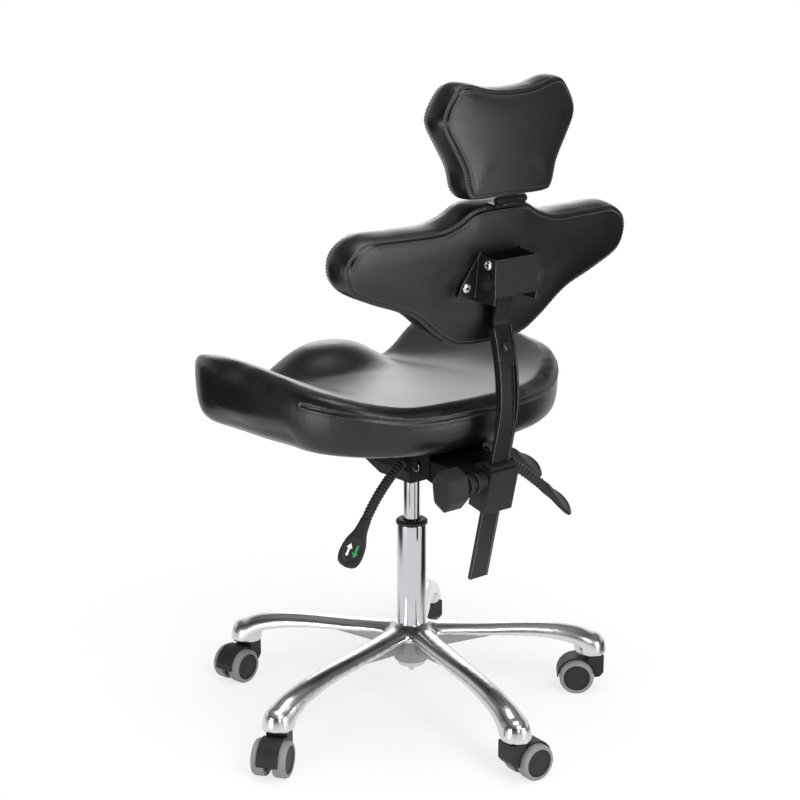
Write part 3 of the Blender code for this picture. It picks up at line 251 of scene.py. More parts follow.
def white_ground():
    """A plane that is lit near the stool and plain white far off, and dim in part to glossy rays."""
    mesh = bpy.data.meshes.new("floor")
    half = FLOOR_SIZE / 2
    corners = [(-half, -half, 0), (half, -half, 0), (half, half, 0), (-half, half, 0)]
    mesh.from_pydata(corners, [], [(0, 1, 2, 3)])
    floor = linked("floor", mesh)
    paint = bpy.data.materials.new("white_ground")
    paint.use_nodes = True
    finish = Finish(paint.node_tree)
    x, y, _ = split(finish, finish.node("ShaderNodeTexCoord", output="Object"))
    far = finish.of_one("SQRT", x * x + y * y)
    pale = 1.0
    for turn, slope, start, full in DIM_WEDGES:
        c, s = math.cos(math.radians(turn)), math.sin(math.radians(turn))
        along, across = x * c + y * s, finish.of_one("ABSOLUTE", y * c - x * s)
        inside = 1.0 - finish.soft_step(across - along * slope, 0.0, WEDGE_BLUR)
        pale = pale * (1.0 - inside * finish.soft_step(along, start, full))
    seen, mirrored = ray_kind(finish, "Camera"), ray_kind(finish, "Glossy")
    level = 1.0 - mirrored * (1.0 - pale) * (1.0 - ROOM_DIM)
    lit = finish.node("ShaderNodeBsdfDiffuse", None, {"Color": (*[FLOOR_GREY] * 3, 1.0)})
    plain = finish.node("ShaderNodeEmission", None, {"Color": WHITE, "Strength": level})
    shade = (1.0 - finish.soft_step(far, *SHADE_REACH)) * FLOOR_SHADE
    share = (seen + mirrored + ray_kind(finish, "Transmission")) * (1.0 - shade)
    both = finish.node("ShaderNodeMixShader", None, {0: share, 1: lit, 2: plain})
    finish.node("ShaderNodeOutputMaterial", None, {"Surface": both})
    mesh.materials.append(paint)


def studio_room():
    """The world: white to the camera, an even light, and to glossy rays white ahead and dim behind."""
    world = bpy.data.worlds.new("studio_room")
    world.use_nodes = True
    bpy.context.scene.world = world
    finish = Finish(world.node_tree)
    x, y, z = split(finish, finish.node("ShaderNodeTexCoord", output="Generated"))
    ahead = finish.soft_step(x * AWAY[0] + y * AWAY[1], *AHEAD_SIDES) * finish.soft_step(z, *AHEAD_TOP)
    above = finish.soft_step(z, *ABOVE_RISE) * ROOM_ABOVE
    bright = ROOM_DIM + ahead * (ROOM_AHEAD - ROOM_DIM) + above
    light, white, room = (finish.node("ShaderNodeBackground", None, {"Color": WHITE, "Strength": level})
                          for level in (ROOM_LIGHT, 1.0, bright))
    mirrored = ray_kind(finish, "Glossy") + ray_kind(finish, "Transmission")
    some = finish.node("ShaderNodeMixShader", None, {0: mirrored, 1: light, 2: room})
    seen = ray_kind(finish, "Camera")
    everything = finish.node("ShaderNodeMixShader", None, {0: seen, 1: some, 2: white})
    finish.node("ShaderNodeOutputWorld", None, {"Surface": everything})


def soft_box(name, place, aim, size, power):
    """A square area light that faces a point over the middle of the floor."""
    data = bpy.data.lights.new(name, "AREA")
    data.size, data.energy = size, power
    lamp = linked(name, data)
    lamp.location = place
    lamp.visible_camera = False
    lamp.rotation_euler = (Vector(place) - Vector((0.0, 0.0, aim))).to_track_quat("Z", "Y").to_euler()


white_ground()
studio_room()
for name, lamp in LAMPS.items():
    soft_box(name, *lamp)

# %% [markdown]
# ## Finishes
# Every finish is made the same way, so each is a row of a table. Patterns of noise or cells are drawn in
# the piece's own coordinates. Sums of them blend two colours, make the gloss uneven and raise a relief.

# %% Finishes
SHINE, METAL = "Specular_IOR_Level", {"Metallic": 1.0}
# Each finish: fixed sockets, patterns, two colours (and each pattern's share in their mix, if not the
# first alone), roughness (base and shares), and relief (distance, strength and shares).
# A pattern is cells of one scale, or noise with a scale, a detail and perhaps a stretch.
FINISHES = {
    # Clouds, pebbles from the distance to scattered points, pores and long soft creases.
    "black_leatherette": (
        {SHINE: 0.50}, ((9.0, 4.0), (900.0,), (2600.0, 2.0), (60.0, 5.0, (0.35, 1.6, 1.0))),
        ((0.002, 0.002, 0.0024), (0.005, 0.005, 0.006)), (0.23, 0.10, 0.05),
        (0.0004, 0.45, 0.0, 0.7, 0.3, 1.4)),
    # Powder paint: slow clouds in its gloss and a fine orange peel.
    "satin_black_paint": (
        {SHINE: 0.32}, ((14.0, 4.0), (520.0, 3.0)),
        ((0.006, 0.006, 0.0065), (0.012, 0.012, 0.013)), (0.20, 0.12), (0.0003, 0.30, 0.0, 1.0)),
    # Dull sandy paint on the castings under the seat and on the head's hinge, darker than the satin paint as
    # painted shade.
    "shaded_matte_black_paint": (
        {SHINE: 0.12}, ((700.0, 4.0),),
        ((0.004, 0.004, 0.0042), (0.009, 0.009, 0.0095)), (0.55, 0.15), (0.0003, 0.4, 1.0)),
    # Painted highlight: a light metal on the bevelled edges, in patches, so that they show as bright lines.
    "edge_highlight_metal": (METAL, ((180.0, 4.0),), ((0.16, 0.16, 0.165), (0.46, 0.46, 0.47)), (0.30, 0.15)),
    # Clouds, and a spark-eroded grain from cells and noise.
    "grained_plastic": (
        {SHINE: 0.32}, ((20.0, 3.0), (1500.0,), (900.0, 4.0)),
        ((0.009, 0.009, 0.0095), (0.018, 0.018, 0.019)), (0.44, 0.14), (0.0003, 0.35, 0.0, 0.6, 0.4)),
    # Slow clouds of uneven gloss and stretched noise for polishing lines.
    "polished_casting": (
        METAL, ((16.0, 4.0), (90.0, 4.0, (1.0, 1.0, 6.0))),
        ((0.60, 0.61, 0.62), (0.74, 0.75, 0.76)), (0.12, 0.16, 0.06), (0.0004, 0.10, 0.0, 1.0)),
    # The unpolished underside: a sandy skin from cells and noise in equal shares.
    "rough_casting": (
        METAL, ((700.0,), (300.0, 5.0)),
        ((0.28, 0.28, 0.285), (0.42, 0.42, 0.425), 0.5, 0.5), (0.46, 0.09, 0.09), (0.0005, 0.5, 0.5, 0.5)),
    # Almost a mirror, with a breath of wiping marks round the tube.
    "bright_chrome": (
        METAL, ((30.0, 4.0, (1.0, 1.0, 0.2)),), ((0.54, 0.55, 0.57), (0.63, 0.64, 0.66)), (0.06, 0.10)),
    # Scuffs that lighten the tread, and a fine roughness.
    "grey_rubber": (
        {SHINE: 0.35}, ((70.0, 6.0), (800.0, 3.0)),
        ((0.17, 0.17, 0.175), (0.25, 0.25, 0.255)), (0.50, 0.2), (0.0002, 0.4, 0.0, 1.0)),
    # Long grain in thin layers.
    "bare_plywood": (
        {SHINE: 0.3}, ((22.0, 6.0, (0.5, 6.0, 6.0)),),
        ((0.30, 0.19, 0.10), (0.52, 0.37, 0.22)), (0.55, 0.2), (0.0005, 0.3, 1.0)),
    # Dark grey, lighter than the cover as a painted sheen on the black stitches, with a fine twist.
    "black_thread_painted_sheen": (
        {SHINE: 0.4}, ((1600.0, 2.0, (1.0, 1.0, 2.0)),),
        ((0.050, 0.050, 0.053), (0.120, 0.120, 0.125)), (0.45, 0.2)),
    # Bright plating with a slight cloud.
    "zinc_screw": (METAL, ((260.0, 3.0),), ((0.62, 0.61, 0.58), (0.82, 0.81, 0.79)), (0.18, 0.18)),
    # Printed ink, a little clouded.
    "white_ink": (
        {SHINE: 0.4}, ((400.0, 3.0),), ((0.6375, 0.6545, 0.646), (0.75, 0.77, 0.76)), (0.35, 0.1)),
    "green_ink": (
        {SHINE: 0.4}, ((400.0, 3.0),), ((0.0255, 0.255, 0.068), (0.03, 0.30, 0.08)), (0.35, 0.1)),
}


def mixed(base, patterns, shares):
    """A base plus each pattern times its share."""
    for pattern, share in zip(patterns, shares):
        base = base + pattern * share
    return base


def make_finish(name, fixed, patterns, colours, rough, relief=None):
    """A material in which a sum of patterns blends two colours, and others give roughness and relief."""
    made, finish = material(name, **fixed)
    drawn = [finish.noise(*row) if len(row) > 1 else finish.cells(*row) for row in patterns]
    dark, light, *shares = colours
    factor = mixed(0.0, drawn, shares) if shares else drawn[0]
    feed(finish, Base_Color=finish.blend(factor, dark, light), Roughness=mixed(rough[0], drawn, rough[1:]))
    if relief:
        distance, strength, *shares = relief
        feed(finish, Normal=finish.bump(mixed(0.0, drawn, shares), distance, strength))
    return made


(LEATHER, PAINT, SHADED_MATTE, EDGE_HIGHLIGHT, PLASTIC, CASTING, ROUGH, CHROME, RUBBER, PLYWOOD, THREAD, ZINC, WHITE_INK,
 GREEN_INK) = (make_finish(name, *row) for name, row in FINISHES.items())
SLOT_FINISH = {"cast_aluminium": CASTING, "chrome": CHROME, "black_steel": PAINT, "black_plastic": PLASTIC,
               "leatherette": LEATHER, "plywood": PLYWOOD, "grey_tyre": RUBBER}
# The parts under the seat and the head's hinge get the darker dull paint: real dull paint, with painted shade
# in its darker colour.
SHADED_NODES = ("mechanism_housing", "seat_plate", "recline_arm", "head_hinge")


def finish_of(node):
    """The finish of a CAD node: dull paint with painted shade under the seat and on the hinge, else its
    slot's.
    """
    return SHADED_MATTE if node in SHADED_NODES else SLOT_FINISH[slots[node]]


for name, node in frame["nodes"].items():
    node.data.materials.clear()
    node.data.materials.append(finish_of(name))
print("finishes:", len(bpy.data.materials))

# %% [markdown]
# ## Surfaces from grids
# Nearly every new piece is a grid of points: rows along the piece and columns round it. One helper joins
# neighbours into faces. Others turn a profile round an axis, draw a smooth curve through points, round a
# profile's corners and smooth a finished mesh.


# %% Grid helpers
def between(index):
    """Quads between the rows of an index grid whose columns close on themselves."""
    right = np.roll(index, -1, axis=1)
    return np.stack([index[:-1], right[:-1], right[1:], index[1:]], axis=-1).reshape(-1, 4)


def skin(name, grid, caps="poles", loop=False):
    """A closed mesh of a (rows, columns, 3) grid: its ends get a fan to their middle ("poles") or one flat
    face ("flat"), or the last row is joined to the first (loop)."""
    rows, columns = grid.shape[:2]
    index = np.arange(rows * columns).reshape(rows, columns)
    if loop:
        index = np.vstack([index, index[:1]])
    right = np.roll(index, -1, axis=1)
    points, faces = grid.reshape(-1, 3), between(index).tolist()
    if not loop and caps == "flat":
        faces += [index[0][::-1].tolist(), index[-1].tolist()]
    elif not loop:
        points = np.vstack([points, grid[0].mean(axis=0), grid[-1].mean(axis=0)])
        first, last = len(points) - 2, len(points) - 1
        faces += np.column_stack([right[0], index[0], np.full(columns, first)]).tolist()
        faces += np.column_stack([index[-1], right[-1], np.full(columns, last)]).tolist()
    mesh = bpy.data.meshes.new(name)
    mesh.from_pydata(points.tolist(), [], faces)
    return outward(mesh)


def outward(mesh):
    """Turn the faces of a closed mesh outwards and shade it smooth."""
    shape = bmesh.new()
    shape.from_mesh(mesh)
    bmesh.ops.recalc_face_normals(shape, faces=shape.faces)
    shape.to_mesh(mesh)
    shape.free()
    mesh.shade_smooth()
    return mesh


def add(name, mesh, finish, body, slot, *nodes):
    """Put a finished mesh into the scene on a body and hide the CAD nodes it stands for. The slot is not
    used.
    """
    mesh.name = name
    mesh.materials.clear()
    mesh.materials.append(finish)
    made = linked(name, mesh)
    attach(made, body)
    if nodes:
        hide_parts(*nodes)
    return made


def sharpen(mesh, angle=35.0):
    """Mark the edges that turn by more than an angle as sharp."""
    mesh.set_sharp_from_angle(angle=math.radians(angle))
    return mesh


def catmull(a, b, c, d, t):
    """A Catmull-Rom piece from b to c, with a before and d after it."""
    return 0.5 * (2 * b + (c - a) * t + (2 * a - 5 * b + 4 * c - d) * t**2 + (3 * b - a - 3 * c + d) * t**3)


def flow(points, count):
    """A smooth open curve through points: Catmull-Rom pieces, sampled evenly in the pieces' numbers."""
    points = np.asarray(points, float)
    padded = np.vstack([2 * points[0] - points[1], points, 2 * points[-1] - points[-2]])
    t = np.linspace(0.0, len(points) - 1.000001, count)
    i = t.astype(int)
    t = (t - i)[:, None]
    return catmull(*(padded[i + k] for k in range(4)), t)


def power(value, exponent):
    """A power that keeps the sign."""
    return np.sign(value) * np.abs(value) ** exponent


def around(count):
    """Even angles of a full turn."""
    return np.linspace(0.0, math.tau, count, endpoint=False)


def turned(profile, sides, axis=2):
    """A profile of (radius, height) rows turned round X, Y or Z (axis 0, 1, 2), as a grid."""
    profile = np.asarray(profile, float)
    angle = around(sides)
    grid = np.zeros((len(profile), sides, 3))
    grid[..., axis] = profile[:, 1:2]
    grid[..., (axis + 1) % 3] = profile[:, 0:1] * np.cos(angle)
    grid[..., (axis + 2) % 3] = profile[:, 0:1] * np.sin(angle)
    return grid


def rounded(profile, radius, steps=4):
    """A profile with each inner corner replaced by an arc-like curve that starts `radius` away."""
    profile = np.asarray(profile, float)
    before, corner, after = profile[:-2], profile[1:-1], profile[2:]
    reach_in = np.linalg.norm(before - corner, axis=1, keepdims=True)
    reach_out = np.linalg.norm(after - corner, axis=1, keepdims=True)
    start = corner + (before - corner) * np.minimum(radius / reach_in, 0.5)
    end = corner + (after - corner) * np.minimum(radius / reach_out, 0.5)
    t = np.linspace(0.0, 1.0, steps)[None, :, None]
    bend = (1 - t) ** 2 * start[:, None] + 2 * t * (1 - t) * corner[:, None] + t**2 * end[:, None]
    return np.vstack([profile[:1], bend.reshape(-1, 2), profile[-1:]])


def read(mesh, field="co"):
    """The vertices' places or normals as an array."""
    out = np.empty(len(mesh.vertices) * 3, np.float32)
    mesh.vertices.foreach_get(field, out)
    return out.reshape(-1, 3).astype(float)


def write(mesh, points):
    """Put the vertices at places."""
    mesh.vertices.foreach_set("co", points.astype(np.float32).ravel())
    mesh.update()


def spread(mesh, values, weight, passes):
    """Move each vertex's value towards the mean of its neighbours' by its weight, a number of times."""
    ends = np.empty(len(mesh.edges) * 2, np.int32)
    mesh.edges.foreach_get("vertices", ends)
    a, b = ends.reshape(-1, 2).T
    count = np.bincount(ends, minlength=len(values))[:, None]
    for _ in range(passes):
        total = np.stack([np.bincount(a, part[b], len(values)) + np.bincount(b, part[a], len(values))
                          for part in values.T], axis=1)
        values = values + np.reshape(weight, (-1, 1)) * (total / count - values)
    return values


def relax(mesh, weight, passes):
    """Smooth a mesh by spreading its points' places."""
    write(mesh, spread(mesh, read(mesh), weight, passes))


# %% [markdown]
# ## Pad outlines
# Each pad is symmetrical, so half its outline is enough: a smooth closed curve is drawn through the
# half and its mirror image, at even steps. Seams run at a fixed distance inside the outline, so a second
# helper moves every point in along the curve's normal.


# %% Outline helpers
OUTLINE_POINTS = 320


def resampled(curve, closed, count=None, pitch=None):
    """The curve at even lengths: a count of samples, or as many as come near a pitch."""
    loop = np.vstack([curve, curve[:1]]) if closed else curve
    along = np.concatenate([[0.0], np.cumsum(np.linalg.norm(np.diff(loop, axis=0), axis=1))])
    count = count or max(4, round(along[-1] / pitch))
    even = np.linspace(0.0, along[-1], count, endpoint=not closed)
    return np.column_stack([np.interp(even, along, column) for column in loop.T])


def closed_outline(half):
    """Catmull-Rom pieces through the half outline and its mirror, sampled at even lengths."""
    half = np.array(half)
    ring = np.vstack([half, half[-2:0:-1] * (-1.0, 1.0)])
    a, b, c, d = (np.roll(ring, shift, 0)[:, None, :] for shift in (1, 0, -1, -2))
    t = np.linspace(0.0, 1.0, 24, endpoint=False)[None, :, None]
    return resampled(catmull(a, b, c, d, t).reshape(-1, 2), True, OUTLINE_POINTS)


def inset(outline, distance):
    """The outline moved in along its normal."""
    ahead = np.roll(outline, -1, 0) - np.roll(outline, 1, 0)
    normal = np.column_stack([ahead[:, 1], -ahead[:, 0]]) / np.linalg.norm(ahead, axis=1)[:, None]
    x, y = outline.T
    area = np.sum(x * np.roll(y, -1) - np.roll(x, -1) * y)
    return outline - normal * distance * np.sign(area)


# %% [markdown]
# ## Plumping the pads
# A sewn cover over foam is tight and a little swollen between its seams. A cloth simulation gives that:
# the pad is remeshed into even faces, its seams are pinned, and air pressure swells the rest for a few
# frames. The movement is capped so that the pad keeps its size, and one subdivision smooths the result.


# %% Plumping
CLOTH = {"quality": 4, "mass": 0.3, "tension_stiffness": 18.0, "compression_stiffness": 18.0,
         "bending_stiffness": 0.6, "use_pressure": True, "uniform_pressure_force": 5.0}
CLOTH_FRAMES, PIN_STEPS = 12, (0.25, 0.5, 0.75, 1.0)
BATCH = 64


def evaluated(made):
    """A new mesh of the object with its modifiers applied."""
    graph = bpy.context.evaluated_depsgraph_get()
    return bpy.data.meshes.new_from_object(made.evaluated_get(graph))


def taken(made):
    """The object's final mesh, shaded smooth. The object itself goes."""
    result = evaluated(made)
    bpy.data.objects.remove(made, do_unlink=True)
    result.shade_smooth()
    return result


def remesh(made, voxel):
    """Give the object a modifier that makes even faces."""
    even = made.modifiers.new("even", "REMESH")
    even.mode, even.voxel_size = "VOXEL", voxel


def distance(points, curve):
    """How far each point is from the nearest of a curve's samples."""
    nearest = np.full(len(points), np.inf)
    for start in range(0, len(curve), BATCH):
        part = curve[start:start + BATCH]
        square = (points**2).sum(1)[:, None] + (part**2).sum(1)[None] - 2 * points @ part.T
        nearest = np.minimum(nearest, square.min(axis=1))
    return np.sqrt(np.maximum(nearest, 0.0))


def nearness(points, curve, reach):
    """1 on the curve's samples, falling as a bell over the reach."""
    return np.exp(-((distance(points, curve) / reach) ** 2))


def plump(mesh, voxel, pinned, cap, calm):
    """Remesh, swell by cloth pressure with the pinned share held, calm its creases, cap and subdivide."""
    made = linked("plumping", mesh)
    remesh(made, voxel)
    smooth = made.modifiers.new("smooth", "SMOOTH")
    smooth.iterations, smooth.factor = 4, 0.5
    made.data = evaluated(made)
    made.modifiers.clear()
    rest = read(made.data)
    group = made.vertex_groups.new(name="sewn")
    held = pinned(rest)
    for level in PIN_STEPS:
        chosen = np.nonzero(np.abs(held - level) <= PIN_STEPS[0] / 2)[0]
        group.add(chosen.tolist(), level, "REPLACE")
    cloth = made.modifiers.new("cloth", "CLOTH")
    for key, value in CLOTH.items():
        setattr(cloth.settings, key, value)
    cloth.settings.vertex_group_mass = group.name
    cloth.settings.effector_weights.gravity = 0.0
    cloth.collision_settings.use_collision = False
    cloth.point_cache.frame_start, cloth.point_cache.frame_end = 1, CLOTH_FRAMES
    for step in range(1, CLOTH_FRAMES + 1):
        bpy.context.scene.frame_set(step)
    swollen = read(evaluated(made))
    made.modifiers.clear()
    bpy.context.scene.frame_set(1)
    move = spread(made.data, swollen - rest, 0.5, calm)
    length = np.linalg.norm(move, axis=1, keepdims=True)
    print("  swelled by up to", round(float(length.max()) * 1000, 1), "mm")
    write(made.data, rest + move * np.minimum(1.0, cap / np.maximum(length, 1e-9)))
    finer = made.modifiers.new("finer", "SUBSURF")
    finer.levels = finer.render_levels = 1
    return taken(made)


# %% [markdown]
# ## Seams and topstitching
# The photo shows a folded seam round each panel, with a row of stitches on either side. The fold is
# pressed into the mesh itself: a narrow groove along the seam's curve, and a low welt on each side where
# the cover is doubled. Each stitch is a small thread that dips into the cover at both ends. All the
# stitches of a seam are one mesh.


# %% Seams
STITCH_PITCH, STITCH_LENGTH, THREAD_RADIUS = 0.0052, 0.0036, 0.00075
SEAM_ROW, SEAM_DEPTH, SEAM_WIDTH, GROOVE_PITCH = 0.0042, 0.0026, 0.0022, 0.0015
WELT_RISE, WELT_WIDTH = 0.0010, 0.0026
SEAM_REACH, STITCH_REACH = 0.005, 0.0022


def settle(curve, points, normals, reach=SEAM_REACH):
    """Each sample of a curve moved onto the surface: the mean of the points near it, and their normal."""
    places, ways = [], []
    for start in range(0, len(curve), BATCH):
        part = curve[start:start + BATCH]
        gap = part[:, None, :] - points[None, :, :]
        square = np.einsum("ijk,ijk->ij", gap, gap)
        weight = np.exp(-(square - square.min(axis=1, keepdims=True)) / reach**2)
        weight /= weight.sum(axis=1, keepdims=True)
        places.append(weight @ points)
        ways.append(weight @ normals)
    ways = np.vstack(ways)
    return np.vstack(places), ways / np.linalg.norm(ways, axis=1, keepdims=True)


def heading(curve, closed):
    """Unit vectors along the curve, from each sample's two neighbours."""
    if closed:
        ahead = np.roll(curve, -1, 0) - np.roll(curve, 1, 0)
    else:
        ahead = np.gradient(curve, axis=0)
    return ahead / np.linalg.norm(ahead, axis=1, keepdims=True)


def press_seam(mesh, curve, closed):
    """Push the mesh in along a seam: a bell-shaped groove with a lower bell raised on each side of it."""
    points, normals = read(mesh), read(mesh, "normal")
    on, _ = settle(curve, points, normals)
    away = distance(points, resampled(on, closed, pitch=GROOVE_PITCH))
    groove = SEAM_DEPTH * np.exp(-((away / SEAM_WIDTH) ** 2))
    welt = WELT_RISE * np.exp(-(((away - SEAM_ROW) / WELT_WIDTH) ** 2))
    write(mesh, points + normals * (welt - groove)[:, None])


def stitches(mesh, curve, closed):
    """Rows of small threads beside the seam: each is a tube along it whose ends dip into the cover."""
    points, normals = read(mesh), read(mesh, "normal")
    on, out = settle(curve, points, normals)
    beside = np.cross(out, heading(on, closed))
    u, v = np.linspace(-1.0, 1.0, 6)[:, None], around(6)
    tube = np.sqrt(np.clip(1.0 - u**2, 0.05, 1.0)) * THREAD_RADIUS
    rise = THREAD_RADIUS * (1.1 - 1.8 * u**2)
    batches = []
    for row in (-SEAM_ROW, SEAM_ROW):
        line = resampled(on + beside * row, closed, pitch=STITCH_PITCH)
        line, out = settle(line, points, normals, STITCH_REACH)
        ahead = heading(line, closed)
        side = np.cross(out, ahead)
        grid = line[:, None, None, :]
        sizes = u * STITCH_LENGTH / 2, tube * np.cos(v), rise + tube * np.sin(v)
        for way, size in zip((ahead, side, out), sizes):
            grid = grid + way[:, None, None, :] * size[None, :, :, None]
        batches.append(grid)
    return many_tubes(np.concatenate(batches))


def many_tubes(grids):
    """One mesh of equal closed tubes from (count, rows, columns, 3) points, their ends flat."""
    count, rows, columns = grids.shape[:3]
    index = np.arange(rows * columns).reshape(rows, columns)
    shift = (np.arange(count) * rows * columns)[:, None, None]
    caps = np.stack([index[0][::-1], index[-1]])
    faces = (between(index) + shift).reshape(-1, 4).tolist() + (caps + shift).reshape(-1, columns).tolist()
    mesh = bpy.data.meshes.new("stitches")
    mesh.from_pydata(grids.reshape(-1, 3).tolist(), [], faces)
    return outward(mesh)


# %% [markdown]
# ## Saddle seat
# The seat is a moulded saddle: a broad pan, wings that rise at the sides, a pommel in front and a channel
# for each thigh. Its height is one formula over the plan. The side is a profile from the top's edge down
# and in to the underside, carried round the outline.

# %% Saddle seat
SEAT_HALF_OUTLINE = (
    (0.000, 0.187), (0.105, 0.177), (0.198, 0.138), (0.256, 0.072), (0.274, -0.020), (0.284, -0.120),
    (0.284, -0.205), (0.245, -0.262), (0.160, -0.270), (0.080, -0.285), (0.000, -0.290),
)
SEAT_TOP = 0.576
SEAT_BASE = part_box("seat_board")[0].z
WING_RISE, WING_INNER, WING_OUTER, WING_REAR_SHARE = 0.072, 0.110, 0.284, 0.42
PAN_PITCH, WING_GROWTH, CHANNEL_GROWTH = 0.070, (0.18, -0.20), (0.0, -0.24)
POMMEL_RISE, POMMEL_Y, POMMEL_WIDTH, POMMEL_LENGTH = 0.044, -0.225, 0.095, 0.075
CHANNEL_DROP, CHANNEL_X, CHANNEL_WIDTH = 0.014, 0.15, 0.05
SEAT_VOXEL, SEAT_CAP, SEAT_CALM = 0.0057, 0.004, 14
SEAT_SEAM_RISE, SEAT_SEAM_FRONT = 0.81, 0.045
PIN_REACH = 0.006


def soft_step(low, high, value):
    """0 at low, 1 at high and a smooth slope between them."""
    t = np.clip((value - low) / (high - low), 0.0, 1.0)
    return t * t * (3.0 - 2.0 * t)


def seat_height(x, y):
    """A pan that rises to the rear, wings that grow to the front and a bell for the pommel, less channels."""
    front = WING_REAR_SHARE + (1 - WING_REAR_SHARE) * soft_step(*WING_GROWTH, y)
    wings = WING_RISE * soft_step(WING_INNER, WING_OUTER, np.abs(x)) * front
    pommel = POMMEL_RISE * np.exp(-np.hypot(x / POMMEL_WIDTH, (y - POMMEL_Y) / POMMEL_LENGTH) ** 3)
    channel = CHANNEL_DROP * np.exp(-(((np.abs(x) - CHANNEL_X) / CHANNEL_WIDTH) ** 2))
    return SEAT_TOP + PAN_PITCH * y + wings + pommel - channel * soft_step(*CHANNEL_GROWTH, y)


seat_outline = closed_outline(SEAT_HALF_OUTLINE)
seat_middle = seat_outline.mean(axis=0)


def seat_ring(share, rise):
    """The outline drawn in to a share, at a share of the seat's height there."""
    flat = seat_middle + (seat_outline - seat_middle) * share
    return np.column_stack([flat, SEAT_BASE + (seat_height(*flat.T) - SEAT_BASE) * rise])


seat_side = flow((
    (0.02, 1.0), (0.30, 1.0), (0.60, 1.0), (0.86, 1.0), (0.95, 0.992), (0.987, 0.945), (0.999, 0.82),
    (1.0, 0.58), (0.993, 0.36), (0.972, 0.21), (0.93, 0.145), (0.80, 0.10), (0.55, 0.02), (0.40, 0.0),
    (0.02, 0.0)), 96)
seat_grid = np.stack([seat_ring(share, rise) for share, rise in seat_side])
seat_seam = np.roll(seat_ring(1.0, SEAT_SEAM_RISE), -(OUTLINE_POINTS // 2), axis=0)
seat_seam = seat_seam[seat_seam[:, 1] > SEAT_SEAM_FRONT]


def seat_sewn(points):
    """Held where the cover is stapled under the seat, and mostly held along the rear seam."""
    return np.maximum(points[:, 2] < SEAT_BASE + PIN_REACH, 0.75 * nearness(points, seat_seam, PIN_REACH))


seat_mesh = plump(skin("seat", seat_grid), SEAT_VOXEL, seat_sewn, SEAT_CAP, SEAT_CALM)
press_seam(seat_mesh, seat_seam, False)
seat = add("seat_cover", seat_mesh, LEATHER, "seat", "leatherette", "seat_cushion", "seat_board")
add("seat_stitching", stitches(seat_mesh, seat_seam, False), THREAD, "seat", "leatherette")
print("seat:", len(seat_mesh.polygons), "faces")

# %% [markdown]
# ## Back pad and headrest
# Both pads are cut the same way: a rear panel over a board, a boxing band round it and a crowned front.
# One function makes a pad from its outline and depth, and a frame of three axes stands it in the chair.

# %% Upright pads
BACK_HALF_OUTLINE = (
    (0.000, 0.119), (0.052, 0.115), (0.086, 0.098), (0.125, 0.088), (0.190, 0.088), (0.256, 0.086),
    (0.293, 0.056), (0.286, 0.008), (0.232, -0.020), (0.165, -0.046), (0.114, -0.084),
    (0.070, -0.108), (0.000, -0.113),
)
HEAD_HALF_OUTLINE = (
    (0.000, 0.170), (0.045, 0.173), (0.084, 0.182), (0.107, 0.179), (0.126, 0.158), (0.138, 0.134),
    (0.136, 0.113), (0.119, 0.083), (0.100, 0.050), (0.090, 0.016), (0.072, 0.004), (0.000, 0.004),
)
BACK_LEAN = 7.0
BACK_DEPTH, HEAD_DEPTH = 0.0703, 0.0643
BACK_BOW, HEAD_BOW = 0.09, 0.30
BOLT_TO_PANEL, PANEL_BELOW_BOLT = 0.026, 0.0133
HEAD_PANEL_BEHIND_HINGE = 0.008
SEAM_INSET, SEAM_STEP = 0.0085, 0.0035
BACK_DENT, HEAD_DENT, DENT_REACH, FIXING_REACH = 0.0025, 0.0, 0.016, 0.030
BACK_VOXEL, HEAD_VOXEL, PAD_CAP, PAD_CALM = 0.0041, 0.0030, 0.0045, 4
FRONT_SEAM_INSET, FRONT_SEAM_DEPTH = 0.010, 0.84
EAR_PLACES = [(x, 0.0, -0.009) for x in np.linspace(-0.080, 0.080, 41)]
HINGE_PLACES = [(x, 0.0, 0.016) for x in np.linspace(-0.022, 0.022, 21)]


def upright_frame(origin, lean):
    """A matrix whose Y points to the rear and whose Z leans back from upright."""
    return Matrix.Translation(origin) @ Matrix.Rotation(math.radians(-lean), 4, "X")


def moved(points, matrix):
    """Points of any shape (..., 3) carried by a matrix."""
    m = np.array(matrix)
    return points @ m[:3, :3].T + m[:3, 3]


def pad_ring(outline, bow, edge, shrink, depth):
    """The outline set in by an edge, drawn in to a share, at a depth in front of the bowed rear panel."""
    x, z = (inset(outline, edge) * shrink).T
    return np.column_stack([x, -depth - bow * x**2, z])


def upright_pad(outline, bow, depth):
    """Rings of the pad from the rear panel's middle, round the band, to the front's middle."""
    side = flow(((0.016, 0.02, 0.000), (0.016, 0.5, 0.000), (0.016, 0.92, 0.000), (0.013, 1.0, 0.0012),
                 (SEAM_INSET, 1.0, SEAM_STEP), (0.003, 1.0, 0.010), (0.001, 1.0, depth * 0.40),
                 (0.002, 1.0, depth * 0.62), (0.009, 1.0, depth * 0.82), (0.022, 1.0, depth * 0.93),
                 (0.032, 0.90, depth * 0.98), (0.032, 0.5, depth), (0.032, 0.02, depth)), 80)
    return np.stack([pad_ring(outline, bow, *row) for row in side])


